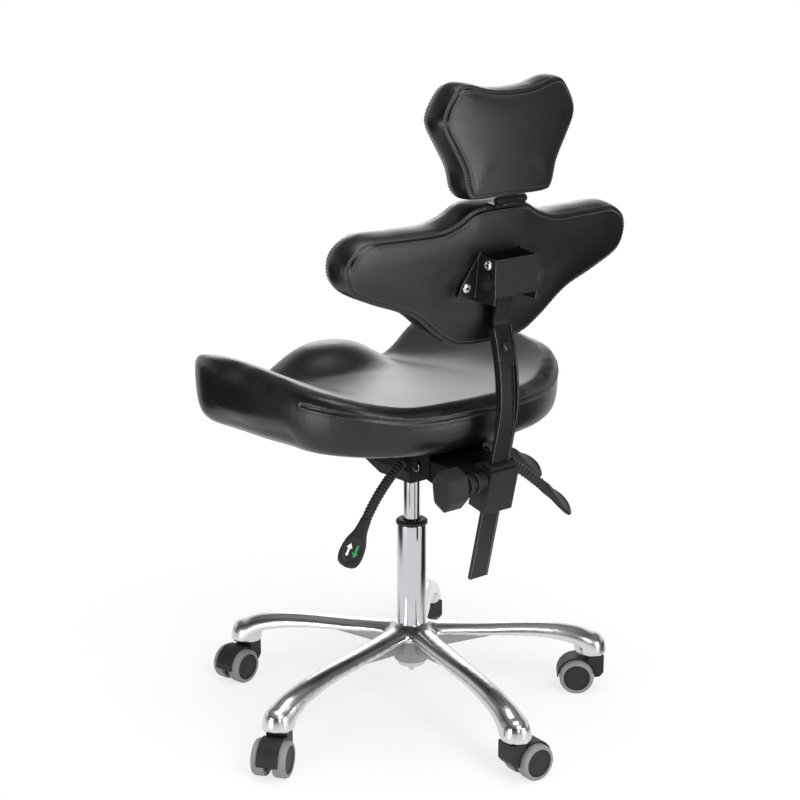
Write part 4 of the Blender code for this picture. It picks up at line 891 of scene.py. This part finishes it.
def make_pad(name, half, bow, depth, matrix, body, nodes, voxel, fixings, dent):
    """Plump an upright pad, press its two seams and its fixings into it, and sew the seams."""
    outline = closed_outline(half)
    centre = np.array([0.0, outline[:, 1].mean()]) if name == "head" else np.zeros(2)
    outline = outline - centre
    stand = matrix @ Matrix.Translation((0.0, 0.0, centre[1]))
    rear = moved(pad_ring(outline, bow, SEAM_INSET, 1.0, SEAM_STEP), stand)
    front = moved(pad_ring(outline, bow, FRONT_SEAM_INSET, 1.0, depth * FRONT_SEAM_DEPTH), stand)
    both, fixings = np.vstack([rear, front]), moved(np.array(fixings), matrix)

    def sewn(points):
        """Held along the seams and where the pad is fixed."""
        return np.maximum(nearness(points, both, PIN_REACH), nearness(points, fixings, FIXING_REACH))

    whole = skin(name, moved(upright_pad(outline, bow, depth), stand))
    mesh = plump(whole, voxel, sewn, PAD_CAP, PAD_CALM)
    for seam in (rear, front):
        press_seam(mesh, seam, True)
    points = read(mesh)
    write(mesh, points - read(mesh, "normal") * (dent * nearness(points, fixings, DENT_REACH))[:, None])
    cover = add(f"{name}_cover", mesh, LEATHER, body, "leatherette", *nodes)
    threads = [stitches(mesh, seam, True) for seam in (rear, front)]
    for place, thread in zip(("rear", "front"), threads):
        add(f"{name}_{place}_stitching", thread, THREAD, body, "leatherette")
    print(name, "pad:", len(mesh.polygons), "faces")


bolt = joints["back_tilt"]["pos_m"]
bolt_frame = upright_frame(bolt, BACK_LEAN)
back_stand = bolt_frame @ Matrix.Translation((0.0, -BOLT_TO_PANEL, -PANEL_BELOW_BOLT))
make_pad("back", BACK_HALF_OUTLINE, BACK_BOW, BACK_DEPTH, back_stand, "back", ("back_pad", "back_board"),
         BACK_VOXEL, EAR_PLACES, BACK_DENT)
hinge = joints["head_tilt"]["pos_m"]
head_stand = upright_frame(hinge, 0.0) @ Matrix.Translation((0.0, HEAD_PANEL_BEHIND_HINGE, 0.0))
make_pad("head", HEAD_HALF_OUTLINE, HEAD_BOW, HEAD_DEPTH, head_stand, "head", ("head_pad", "head_board"),
         HEAD_VOXEL, HINGE_PLACES, HEAD_DENT)

# %% [markdown]
# ## Cast base
# The base is one casting: five hollow arms that run out of a hub and end in a flared foot over each
# castor. The polished shell and the dull ribs below it are made apart. Each is a set of grids that a voxel
# remesh fuses, which rounds every corner as a casting is rounded. Smoothing then takes the steps out, most
# of all round the hub, where the arms flow into each other.

# %% Cast base
ARM_COUNT = 5
CASTER_CIRCLE = math.hypot(*joints["caster_1_swivel"]["pos_m"][:2])
FIRST_ARM = math.atan2(*joints["caster_1_swivel"]["pos_m"][1::-1])
ARM_WALL, ARM_ROUNDING = 0.0045, 0.8
# Each station of an arm: a share of the castors' circle, and the arm's width, depth and top there.
ARM_STATIONS = (
    (0.060, 0.054, 0.022, 0.1545), (0.20, 0.046, 0.019, 0.1490), (0.40, 0.041, 0.019, 0.1425),
    (0.60, 0.038, 0.021, 0.1375), (0.78, 0.040, 0.025, 0.1305), (0.90, 0.045, 0.034, 0.1225),
    (0.97, 0.049, 0.042, 0.1140), (1.02, 0.048, 0.0345, 0.1030), (1.045, 0.040, 0.024, 0.0930),
)
FOOT_RIM, FOOT_TOP = 0.068, 0.1080
FOOT_PROFILE = (
    (0.0020, 0.0690), (0.0255, 0.0680), (0.0265, 0.0695), (0.0256, 0.0770), (0.0240, 0.0850),
    (0.0225, 0.0930), (0.0190, 0.1000), (0.0120, 0.1050), (0.0010, 0.1080),
)
HEEL_DRAW, HEEL_LOW = 0.55, 0.25
HUB_PROFILE = ((0.002, 0.1570), (0.0290, 0.1570), (0.0310, 0.1555), (0.0340, 0.1500), (0.0400, 0.1440),
               (0.0410, 0.1300), (0.0330, 0.1240), (0.002, 0.1230))
BOSS_PROFILE = ((0.002, 0.0880), (0.0295, 0.0880), (0.0308, 0.0895), (0.0300, 0.1000), (0.0292, 0.1400),
                (0.002, 0.1400))
RIB_WIDTH, RIB_LOW, RIB_TIP, RIB_START, RIB_END = 0.022, 0.106, 0.010, 0.07, 0.66
RIB_ROUNDING, RIB_CURVE, RIB_BITE = 0.4, 1.5, 0.6
HUB_FLOW, FOOT_FLOW = (0.115, 0.050), (0.255, 0.285)
BASE_VOXEL, BASE_PASSES, HUB_PASSES, FOOT_PASSES = 0.0022, 8, 30, 24
RIB_VOXEL, RIB_PASSES = 0.0024, 5
COLUMN_BORE, BORE_TOP, STEM_BORE, STEM_BELOW, STEM_ROOM = 0.0215, 0.3, 0.0062, 0.02, 0.001


def arm_grid():
    """An arch carried out along X: a smooth curve through the stations gives its width, depth and top."""
    share, width, depth, top = (part[:, None] for part in flow(ARM_STATIONS, 72).T)
    a = np.linspace(0.0, math.pi, 24)[None, :]
    y = power(np.cos(a), ARM_ROUNDING) * width / 2
    z = top - depth * (1 - np.sin(a) ** ARM_ROUNDING)
    inner_y = y * (1 - 2 * ARM_WALL / width)
    inner_z = z - ARM_WALL * np.sin(a)
    y = np.hstack([y, inner_y[:, ::-1]])
    z = np.hstack([z, inner_z[:, ::-1]])
    return np.stack([np.broadcast_to(share * CASTER_CIRCLE, y.shape), y, z], axis=-1)


def foot_grid():
    """A flared hoof turned about the castor's stem, its upper part drawn out towards the hub as a heel."""
    grid = turned(flow(FOOT_PROFILE, 56), 48)
    inward = np.clip(-grid[..., 0], 0.0, None)
    height = soft_step(FOOT_RIM, FOOT_TOP, grid[..., 2])
    grid[..., 0] -= inward * HEEL_DRAW * (HEEL_LOW + height)
    return grid + (CASTER_CIRCLE, 0.0, 0.0)


def rib_grid():
    """A web below an arm along X: its lower edge rises from the boss until it meets the arm."""
    share = np.linspace(RIB_START, RIB_END, 24)[:, None]
    top = np.interp(share, *np.array(ARM_STATIONS).T[[0, 3]])
    high = top - ARM_WALL * RIB_BITE
    low = RIB_LOW + (top - RIB_TIP - RIB_LOW) * ((share - RIB_START) / (RIB_END - RIB_START)) ** RIB_CURVE
    a = around(16)[None, :]
    y = RIB_WIDTH / 2 * power(np.cos(a), RIB_ROUNDING)
    z = (high + low) / 2 + (high - low) / 2 * power(np.sin(a), RIB_ROUNDING)
    return np.stack(np.broadcast_arrays(share * CASTER_CIRCLE, y, z), axis=-1)


def joined(name, meshes):
    """An object of the scene that holds all the meshes."""
    shape = bmesh.new()
    for mesh in meshes:
        shape.from_mesh(mesh)
    whole = bpy.data.meshes.new(name)
    shape.to_mesh(whole)
    shape.free()
    return linked(name, whole)


def bored(mesh, holes):
    """The mesh with round holes cut along Z, each given by its middle, radius, bottom and top."""
    rods = [skin("rod", turned([(radius, low), (radius, high)], 48) + (x, y, 0.0), "flat")
            for x, y, radius, low, high in holes]
    cutter, made = joined("cutter", rods), joined("casting", [mesh])
    cut = made.modifiers.new("cut", "BOOLEAN")
    cut.operation, cut.solver, cut.object = "DIFFERENCE", "EXACT", cutter
    result = taken(made)
    bpy.data.objects.remove(cutter, do_unlink=True)
    return result


def fused(name, meshes, voxel, passes):
    """Join meshes, fuse them by a voxel remesh and smooth away its steps."""
    made = joined(name, meshes)
    remesh(made, voxel)
    result = taken(made)
    relax(result, 0.5, passes)
    return result


spins = [Matrix.Rotation(FIRST_ARM + math.tau / ARM_COUNT * index, 4, "Z") for index in range(ARM_COUNT)]
shell = [skin("hub", turned(flow(HUB_PROFILE, 60), 64))]
shell += [skin("spoke", moved(grid, spin)) for spin in spins for grid in (arm_grid(), foot_grid())]
base_mesh = fused("base", shell, BASE_VOXEL, BASE_PASSES)
middle = np.linalg.norm(read(base_mesh)[:, :2], axis=1)
relax(base_mesh, 0.5 * soft_step(*HUB_FLOW, middle), HUB_PASSES)
relax(base_mesh, 0.5 * soft_step(*FOOT_FLOW, middle), FOOT_PASSES)
column_hole = [(0.0, 0.0, COLUMN_BORE, 0.0, BORE_TOP)]
stem_holes = [(*joints[f"caster_{index}_swivel"]["pos_m"][:2], STEM_BORE, FOOT_RIM - STEM_BELOW,
               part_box(f"caster_{index}_body")[1].z + STEM_ROOM) for index in range(1, ARM_COUNT + 1)]
base_mesh = bored(base_mesh, column_hole + stem_holes)
add("cast_base", base_mesh, CASTING, "base", "cast_aluminium", "base_star")
ribs = [skin("boss", turned(rounded(BOSS_PROFILE, 0.002), 64))]
ribs += [skin("rib", moved(rib_grid(), spin)) for spin in spins]
rib_mesh = bored(fused("ribs", ribs, RIB_VOXEL, RIB_PASSES), column_hole)
add("base_ribs", rib_mesh, ROUGH, "base", "cast_aluminium")
print("base:", len(base_mesh.polygons), "faces")

# %% [markdown]
# ## Gas column
# The tube, its collar and the cylinder are turned parts, so each is a profile of radius and height. Small
# arcs at the corners catch the light as the real rolled edges do.

# %% Gas column
TUBE_RADIUS, TUBE_BOTTOM, TUBE_TOP = 0.025, 0.080, 0.334
CYLINDER_RADIUS, CYLINDER_BOTTOM = 0.014, TUBE_TOP - 0.17
COLLAR_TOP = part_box("column_collar")[1].z
CYLINDER_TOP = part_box("gas_cylinder")[1].z

tube = rounded([
    (0.005, TUBE_BOTTOM), (TUBE_RADIUS - 0.0015, TUBE_BOTTOM), (TUBE_RADIUS, TUBE_BOTTOM + 0.03),
    (TUBE_RADIUS, TUBE_TOP), (TUBE_RADIUS - 0.0025, TUBE_TOP),
    (TUBE_RADIUS - 0.004, TUBE_TOP - 0.006)], 0.0008)
add("column_tube_turned", sharpen(skin("tube", turned(tube, 72))), CHROME, "base", "chrome", "column_tube")
collar = rounded([
    (CYLINDER_RADIUS + 0.0003, TUBE_TOP - 0.01), (TUBE_RADIUS - 0.003, TUBE_TOP - 0.01),
    (TUBE_RADIUS - 0.003, TUBE_TOP), (TUBE_RADIUS + 0.002, TUBE_TOP + 0.0003),
    (TUBE_RADIUS + 0.002, COLLAR_TOP - 0.003), (TUBE_RADIUS - 0.002, COLLAR_TOP),
    (CYLINDER_RADIUS + 0.002, COLLAR_TOP), (CYLINDER_RADIUS + 0.0003, COLLAR_TOP - 0.002)], 0.0012)
add("column_collar_turned", skin("collar", turned(collar, 72), loop=True), PLASTIC, "base", "black_plastic",
    "column_collar")
rod = rounded([
    (0.002, CYLINDER_BOTTOM), (CYLINDER_RADIUS, CYLINDER_BOTTOM), (CYLINDER_RADIUS, CYLINDER_TOP - 0.001),
    (0.002, CYLINDER_TOP - 0.001)], 0.0008)
add("gas_cylinder_turned", sharpen(skin("cylinder", turned(rod, 56))), CHROME, "lift", "chrome",
    "gas_cylinder")

# %% [markdown]
# ## Castors
# Each castor has a plastic hood on a stem and two wheels. A wheel is a dark dished disc with a grey tyre
# round it, both turned. They are made once about their own axle and carried to each castor by a matrix.

# %% Castors
WHEEL_RADIUS, WHEEL_WIDTH, TYRE_DEPTH = 0.030, 0.0225, 0.007
WEB_HALF = 0.0065
inside, outside = WEB_HALF + 0.0004, WEB_HALF + WHEEL_WIDTH
rim = WHEEL_RADIUS - TYRE_DEPTH
tyre_profile = rounded([
    (rim + 0.0002, inside + 0.002), (rim + 0.0002, inside), (WHEEL_RADIUS - 0.001, inside),
    (WHEEL_RADIUS, inside + 0.003), (WHEEL_RADIUS, outside - 0.0035), (WHEEL_RADIUS - 0.0022, outside),
    (rim + 0.0002, outside), (rim + 0.0002, outside - 0.002)], 0.0016)
core_profile = rounded([
    (0.001, inside), (rim, inside), (rim, outside - 0.0008), (rim - 0.002, outside - 0.0004),
    (rim - 0.003, outside - 0.0022), (rim * 0.45, outside - 0.0016), (0.001, outside - 0.0012)], 0.0008)
tyre_grid, core_grid = turned(tyre_profile, 64, 1), turned(core_profile, 64, 1)
for index in range(1, ARM_COUNT + 1):
    stand = np.array(joints[f"caster_{index}_swivel"]["pos_m"])
    axle = np.array(joints[f"caster_{index}_spin_a"]["pos_m"])
    trail = math.atan2(axle[1] - stand[1], axle[0] - stand[0])
    for letter, flip in (("a", 0.0), ("b", math.pi)):
        place = Matrix.Translation(axle) @ Matrix.Rotation(trail + flip, 4, "Z")
        wheel, tyre = f"caster_{index}_wheel_{letter}", f"caster_{index}_tyre_{letter}"
        add(f"{tyre}_turned", sharpen(skin("tyre", moved(tyre_grid, place), loop=True)), RUBBER, wheel,
            "grey_tyre", tyre)
        add(f"caster_{index}_disc_{letter}", sharpen(skin("disc", moved(core_grid, place))), PLASTIC, wheel,
            "black_plastic", wheel)

# %% [markdown]
# ## Levers
# Each lever is a ribbed sleeve along a bend and a paddle twisted to the rear. The bend is a quadratic curve
# in the lever's own plane, and rings stand square to it. The sleeve's radius is a ripple along the curve.
# The paddle's face has an oval hollow with a rim, which is a shallow bell-shaped dip in its thickness.

# %% Levers
ROD_RADIUS, ROD_RIB, ROD_RIBS = 0.0074, 0.0019, 19
BALL_RADIUS, BALL_SHARE = 0.0100, 0.09
PADDLE_LENGTH, PADDLE_WIDTH, PADDLE_THICKNESS, PADDLE_TWIST = 0.084, 0.040, 0.010, math.radians(42.0)
# Each row of the paddle: a share of its length, and its width and thickness there as shares.
PADDLE_SHAPE = ((0.0, 0.44, 1.7), (0.10, 0.46, 1.7), (0.28, 0.58, 1.3), (0.50, 0.90, 1.05),
                (0.74, 1.0, 0.95), (0.90, 0.86, 0.8), (0.97, 0.58, 0.6), (1.0, 0.10, 0.15))
PADDLE_DIP, DIP_MIDDLE, DIP_LENGTH, DIP_WIDTH = 0.0020, 0.66, 0.25, 0.38
PADDLE_GAP = 0.0003
# Each lever: its side, and the three points of its bend from its pivot.
LEVER_PATHS = {
    "tilt_lever": (1, ((0.0, 0.0), (0.047, -0.032), (0.077, -0.081))),
    "lift_lever": (-1, ((0.0, 0.0), (0.082, -0.010), (0.142, -0.050))),
    "recline_lever": (-1, ((0.0, 0.0), (0.068, -0.030), (0.138, -0.090))),
}


def lever_rings(centres, headings, across, through, twist, side):
    """Rings square to headings in the XZ plane: across runs to the rear, and the twist turns both."""
    normal = np.stack([-headings[:, 1], headings[:, 0]], axis=1)[:, None, :] * side
    rise = through * math.cos(twist) - across * math.sin(twist)
    rear = across * math.cos(twist) + through * math.sin(twist)
    flat = centres[:, None, :] + normal * rise[..., None]
    return np.stack([flat[..., 0], rear, flat[..., 1]], axis=-1)


def lever(name, side, path):
    """The sleeve with its ball root, and the paddle that goes on straight from its end."""
    pivot = np.array(joints[f"{name}_pull"]["pos_m"])
    start, knee, end = np.array(path) * (side, 1.0)
    t = np.linspace(0.0, 1.0, ROD_RIBS * 10 + 1)[:, None]
    line = (1 - t) ** 2 * start + 2 * t * (1 - t) * knee + t**2 * end
    ahead = (1 - t) * (knee - start) + t * (end - knee)
    ahead /= np.linalg.norm(ahead, axis=1)[:, None]
    angle = around(32)[None, :]
    radius = ROD_RADIUS + ROD_RIB * np.abs(np.sin(math.pi * ROD_RIBS * t)) * (0.8 + 0.2 * np.cos(4 * angle))
    radius = np.maximum(radius, BALL_RADIUS * np.sqrt(np.clip(1.0 - (t / BALL_SHARE) ** 2, 0.0, 1.0)))
    sleeve = lever_rings(line, ahead, radius * np.cos(angle), radius * np.sin(angle), 0.0, side)
    add(f"{name}_sleeve", skin("sleeve", sleeve + pivot), PLASTIC, name, "black_plastic", f"{name}_arm")

    share, wide, thick = (part[:, None] for part in flow(PADDLE_SHAPE, 72).T)
    angle = around(72)[None, :]
    across = PADDLE_WIDTH / 2 * wide * power(np.cos(angle), 0.8)
    through = PADDLE_THICKNESS / 2 * thick * power(np.sin(angle), 0.6)
    oval = np.hypot((share - DIP_MIDDLE) / DIP_LENGTH, across / (PADDLE_WIDTH * DIP_WIDTH))
    through = through - PADDLE_DIP * soft_step(1.05, 0.80, oval) * (np.sin(angle) > 0.0)
    centres = end + ahead[-1] * (PADDLE_GAP + PADDLE_LENGTH * share)
    paddle = lever_rings(centres, np.repeat(ahead[-1:], len(share), 0), across, through, PADDLE_TWIST, side)
    add(f"{name}_handle", skin("handle", paddle + pivot), PLASTIC, name, "black_plastic", f"{name}_paddle")


for name, (side, path) in LEVER_PATHS.items():
    lever(name, side, path)

# %% [markdown]
# The paddle on the sitter's left carries a small sign. Here it is two plain arrows, for up and down. An
# arrow is seven corners on the paddle's face, given as a share along it and a distance across it.

# %% Lever sign
ARROW = ((-0.5, -0.18), (0.1, -0.18), (0.1, -0.5), (0.5, 0.0), (0.1, 0.5), (0.1, 0.18), (-0.5, 0.18))
ARROW_LENGTH, ARROW_WIDTH, ARROW_SIDE, INK_FACES = 0.26, 0.010, 0.006, (-0.0004, 0.0003)
side, path = LEVER_PATHS["tilt_lever"]
_, knee, end = np.array(path) * (side, 1.0)
ahead = ((end - knee) / np.linalg.norm(end - knee))[None]
for name, ink, way in (("up_sign", WHITE_INK, -1), ("down_sign", GREEN_INK, 1)):
    along, beside = np.array(ARROW).T
    share, across = DIP_MIDDLE + way * ARROW_LENGTH * along, way * ARROW_SIDE + ARROW_WIDTH * beside
    face = PADDLE_THICKNESS / 2 * np.interp(share, *np.array(PADDLE_SHAPE).T[[0, 2]]) - PADDLE_DIP
    corners = [lever_rings(end + ahead * PADDLE_LENGTH * share[i], ahead, across[None, i:i + 1],
                           face[None, i:i + 1] + rise, PADDLE_TWIST, side)[0, 0]
               for rise in INK_FACES for i in range(len(ARROW))]
    corners = np.array(corners).reshape(2, len(ARROW), 3) + joints["tilt_lever_pull"]["pos_m"]
    add(name, sharpen(skin("sign", corners, "flat")), ink, "tilt_lever", "black_plastic")

# %% [markdown]
# ## Screws
# Zinc pan-head screws hold the bracket to the pad and to its cross bolt's cheeks. A head is a dome over a
# disc of rings, with a cross-shaped recess: points near either of two lines across the middle drop.

# %% Screws
SCREW_RADIUS, SCREW_HEIGHT, RECESS_WIDTH, RECESS_DEPTH = 0.0079, 0.0042, 0.0013, 0.0020
EAR_SCREW, CHEEK_SCREW = (0.065, -0.0227, -0.022), (0.045, 0.0, 0.018)


def screw_grid():
    """Rings from the rim up to the middle along +Z, pressed by the recess within half the radius."""
    share = np.concatenate([[1.0, 1.0], np.linspace(0.98, 0.02, 30)])[:, None]
    angle = around(48)[None, :]
    x, y = SCREW_RADIUS * share * np.cos(angle), SCREW_RADIUS * share * np.sin(angle)
    z = SCREW_HEIGHT * (0.35 + 0.65 * np.sqrt(1.0 - np.minimum(share, 0.999) ** 2)) * np.ones_like(x)
    z[0] = 0.0
    line = np.minimum(np.abs(x), np.abs(y))
    recess = soft_step(RECESS_WIDTH * 1.3, RECESS_WIDTH * 0.7, line) * soft_step(0.62, 0.52, share)
    return np.stack([x, y, z - RECESS_DEPTH * recess], axis=-1)


for side, letter in ((1, "left"), (-1, "right")):
    for kind, (x, y, z), turn, axis in (("ear", EAR_SCREW, -1, "X"), ("cheek", CHEEK_SCREW, side, "Y")):
        place = Matrix.Translation((side * x, y, z)) @ Matrix.Rotation(turn * math.pi / 2, 4, axis)
        head = skin("screw", moved(screw_grid(), bolt_frame @ place))
        add(f"{letter}_{kind}_screw", head, ZINC, "back", "chrome")

# %% [markdown]
# ## Clamp knob
# The knob is a deep six-sided grip, flatter from front to rear than it is high. Its rings are a hexagon with
# small corners that is scaled along its axis for the chamfers. A hollow behind it takes the socket's boss,
# which has two raised collars.

# %% Clamp knob
KNOB_RADIUS, KNOB_FLATTEN, KNOB_CHAMFER, KNOB_CORNER = 0.034, 0.74, 0.0035, 5.0
KNOB_SIDES, KNOB_TURN, KNOB_FACE = 6, 40.0, 0.55
KNOB_OUT, KNOB_IN, KNOB_SHELF = 0.006, 0.034, 0.028
BOSS_RADIUS, BOSS_ROOM, BOSS_SKIN = 0.0135, 0.0008, 0.001
COLLAR_RADIUS, COLLAR_WIDTH, COLLAR_STARTS = 0.0175, 0.006, (0.046, 0.062)
KNOB_SHARP, PART_SHARP = 20.0, 32.0


def bevelled(made, width, segments, angle):
    """Round the edges of an object that turn by more than an angle."""
    bevel = made.modifiers.new("bevel", "BEVEL")
    bevel.width, bevel.segments = width, segments
    bevel.limit_method, bevel.angle_limit = "ANGLE", math.radians(angle)
    bevel.harden_normals = True
    return bevel


def knob_grid(near, far):
    """Rings along X: the hexagon's outside from the far face to the near one, then the hollow's circle."""
    sides = KNOB_TURN + 360.0 / KNOB_SIDES * np.arange(KNOB_SIDES)
    corner = np.radians(sides[:, None] + (-KNOB_CORNER, KNOB_CORNER)).ravel()
    angle = np.concatenate([a + np.linspace(0.0, 1.0, 8, endpoint=False) * ((b - a) % math.tau)
                            for a, b in zip(corner, np.roll(corner, -1))])
    turns = np.append(corner, corner[0] + math.tau)
    y, z = (np.interp(angle, turns, np.append(part, part[0])) for part in (np.cos(corner), np.sin(corner)))
    hexagon = KNOB_RADIUS * np.array([KNOB_FLATTEN * y, z])
    circle = (BOSS_RADIUS + BOSS_ROOM) * np.array([np.cos(angle), np.sin(angle)])
    chamfer = KNOB_CHAMFER / KNOB_RADIUS
    steps = ((far, KNOB_FACE * hexagon), (far, (1.0 - 2 * chamfer) * hexagon), (far - KNOB_CHAMFER, hexagon),
             (near + KNOB_CHAMFER, hexagon), (near, (1.0 - chamfer) * hexagon), (near, circle),
             (far - KNOB_SHELF - KNOB_OUT, circle))
    return np.array([np.column_stack([np.full(len(angle), x), *ring]) for x, ring in steps])


knob_axis = np.array(joints["knob_turn"]["pos_m"]) * (0.0, 1.0, 1.0)
knob_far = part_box("clamp_knob")[1].x
grip = skin("grip", knob_grid(knob_far - KNOB_IN, knob_far + KNOB_OUT) + knob_axis)
knob = add("clamp_knob_grip", sharpen(grip, KNOB_SHARP), PLASTIC, "knob", "black_plastic", "clamp_knob")
bevelled(knob, 0.0010, 2, KNOB_SHARP)
for index, start in enumerate(COLLAR_STARTS, 1):
    low, high, end = BOSS_RADIUS - BOSS_SKIN, COLLAR_RADIUS, start + COLLAR_WIDTH
    ring = turned(rounded([(low, start), (high, start), (high, end), (low, end)], 0.0012), 48, 0) + knob_axis
    add(f"boss_collar_{index}", sharpen(skin("collar", ring, loop=True)), PLASTIC, "recline", "black_plastic")

# %% [markdown]
# ## Rounded steel and plastic
# Pressed steel and moulded plastic have no knife edges. The CAD solids already have the right shape, so a
# copy of each is merged into one skin and a narrow bevel rounds its edges, which then catch the light.
# The bevel of the stem, the strap and the bracket gets a light metal, a painted highlight that makes their
# edges show as bright lines.

# %% Rounded parts
MERGE, FLAT_ANGLE, SHARP_ANGLE = 1e-5, 1.0, 30.0
HIGHLIGHT_EDGED = ("back_stem", "back_strap", "back_bracket")
BEVELS = {
    "back_stem": 0.0010, "back_strap": 0.0009, "strap_bolt": 0.0010, "back_bracket": 0.0008,
    "bracket_bolt": 0.0008, "back_socket": 0.0016, "socket_liner": 0.0010, "seat_plate": 0.0008,
    "recline_arm": 0.0010, "mechanism_housing": 0.0030, "tilt_pin": 0.0010, "recline_pin": 0.0010,
    "head_bracket": 0.0006, "head_hinge": 0.0006,
    **{f"caster_{index}_body": 0.0010 for index in range(1, ARM_COUNT + 1)},
}


def softened(node, width):
    """A copy of a CAD node, merged, with flat faces joined, its edges bevelled and perhaps given a painted
    highlight.
    """
    source = frame["nodes"][node]
    shape = bmesh.new()
    shape.from_mesh(source.data)
    bmesh.ops.remove_doubles(shape, verts=shape.verts, dist=MERGE)
    bmesh.ops.dissolve_limit(shape, angle_limit=math.radians(FLAT_ANGLE), verts=shape.verts,
                             edges=shape.edges)
    mesh = bpy.data.meshes.new(node)
    shape.to_mesh(mesh)
    shape.free()
    mesh.shade_smooth()
    sharpen(mesh, SHARP_ANGLE)
    made = add(f"{node}_rounded", mesh, finish_of(node), source["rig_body"], slots[node], node)
    bevel = bevelled(made, width, 3, PART_SHARP)
    # On these parts the bevel gets the light metal: a painted highlight along the edges.
    if node in HIGHLIGHT_EDGED:
        mesh.materials.append(EDGE_HIGHLIGHT)
        bevel.material = 1


for node, width in BEVELS.items():
    softened(node, width)
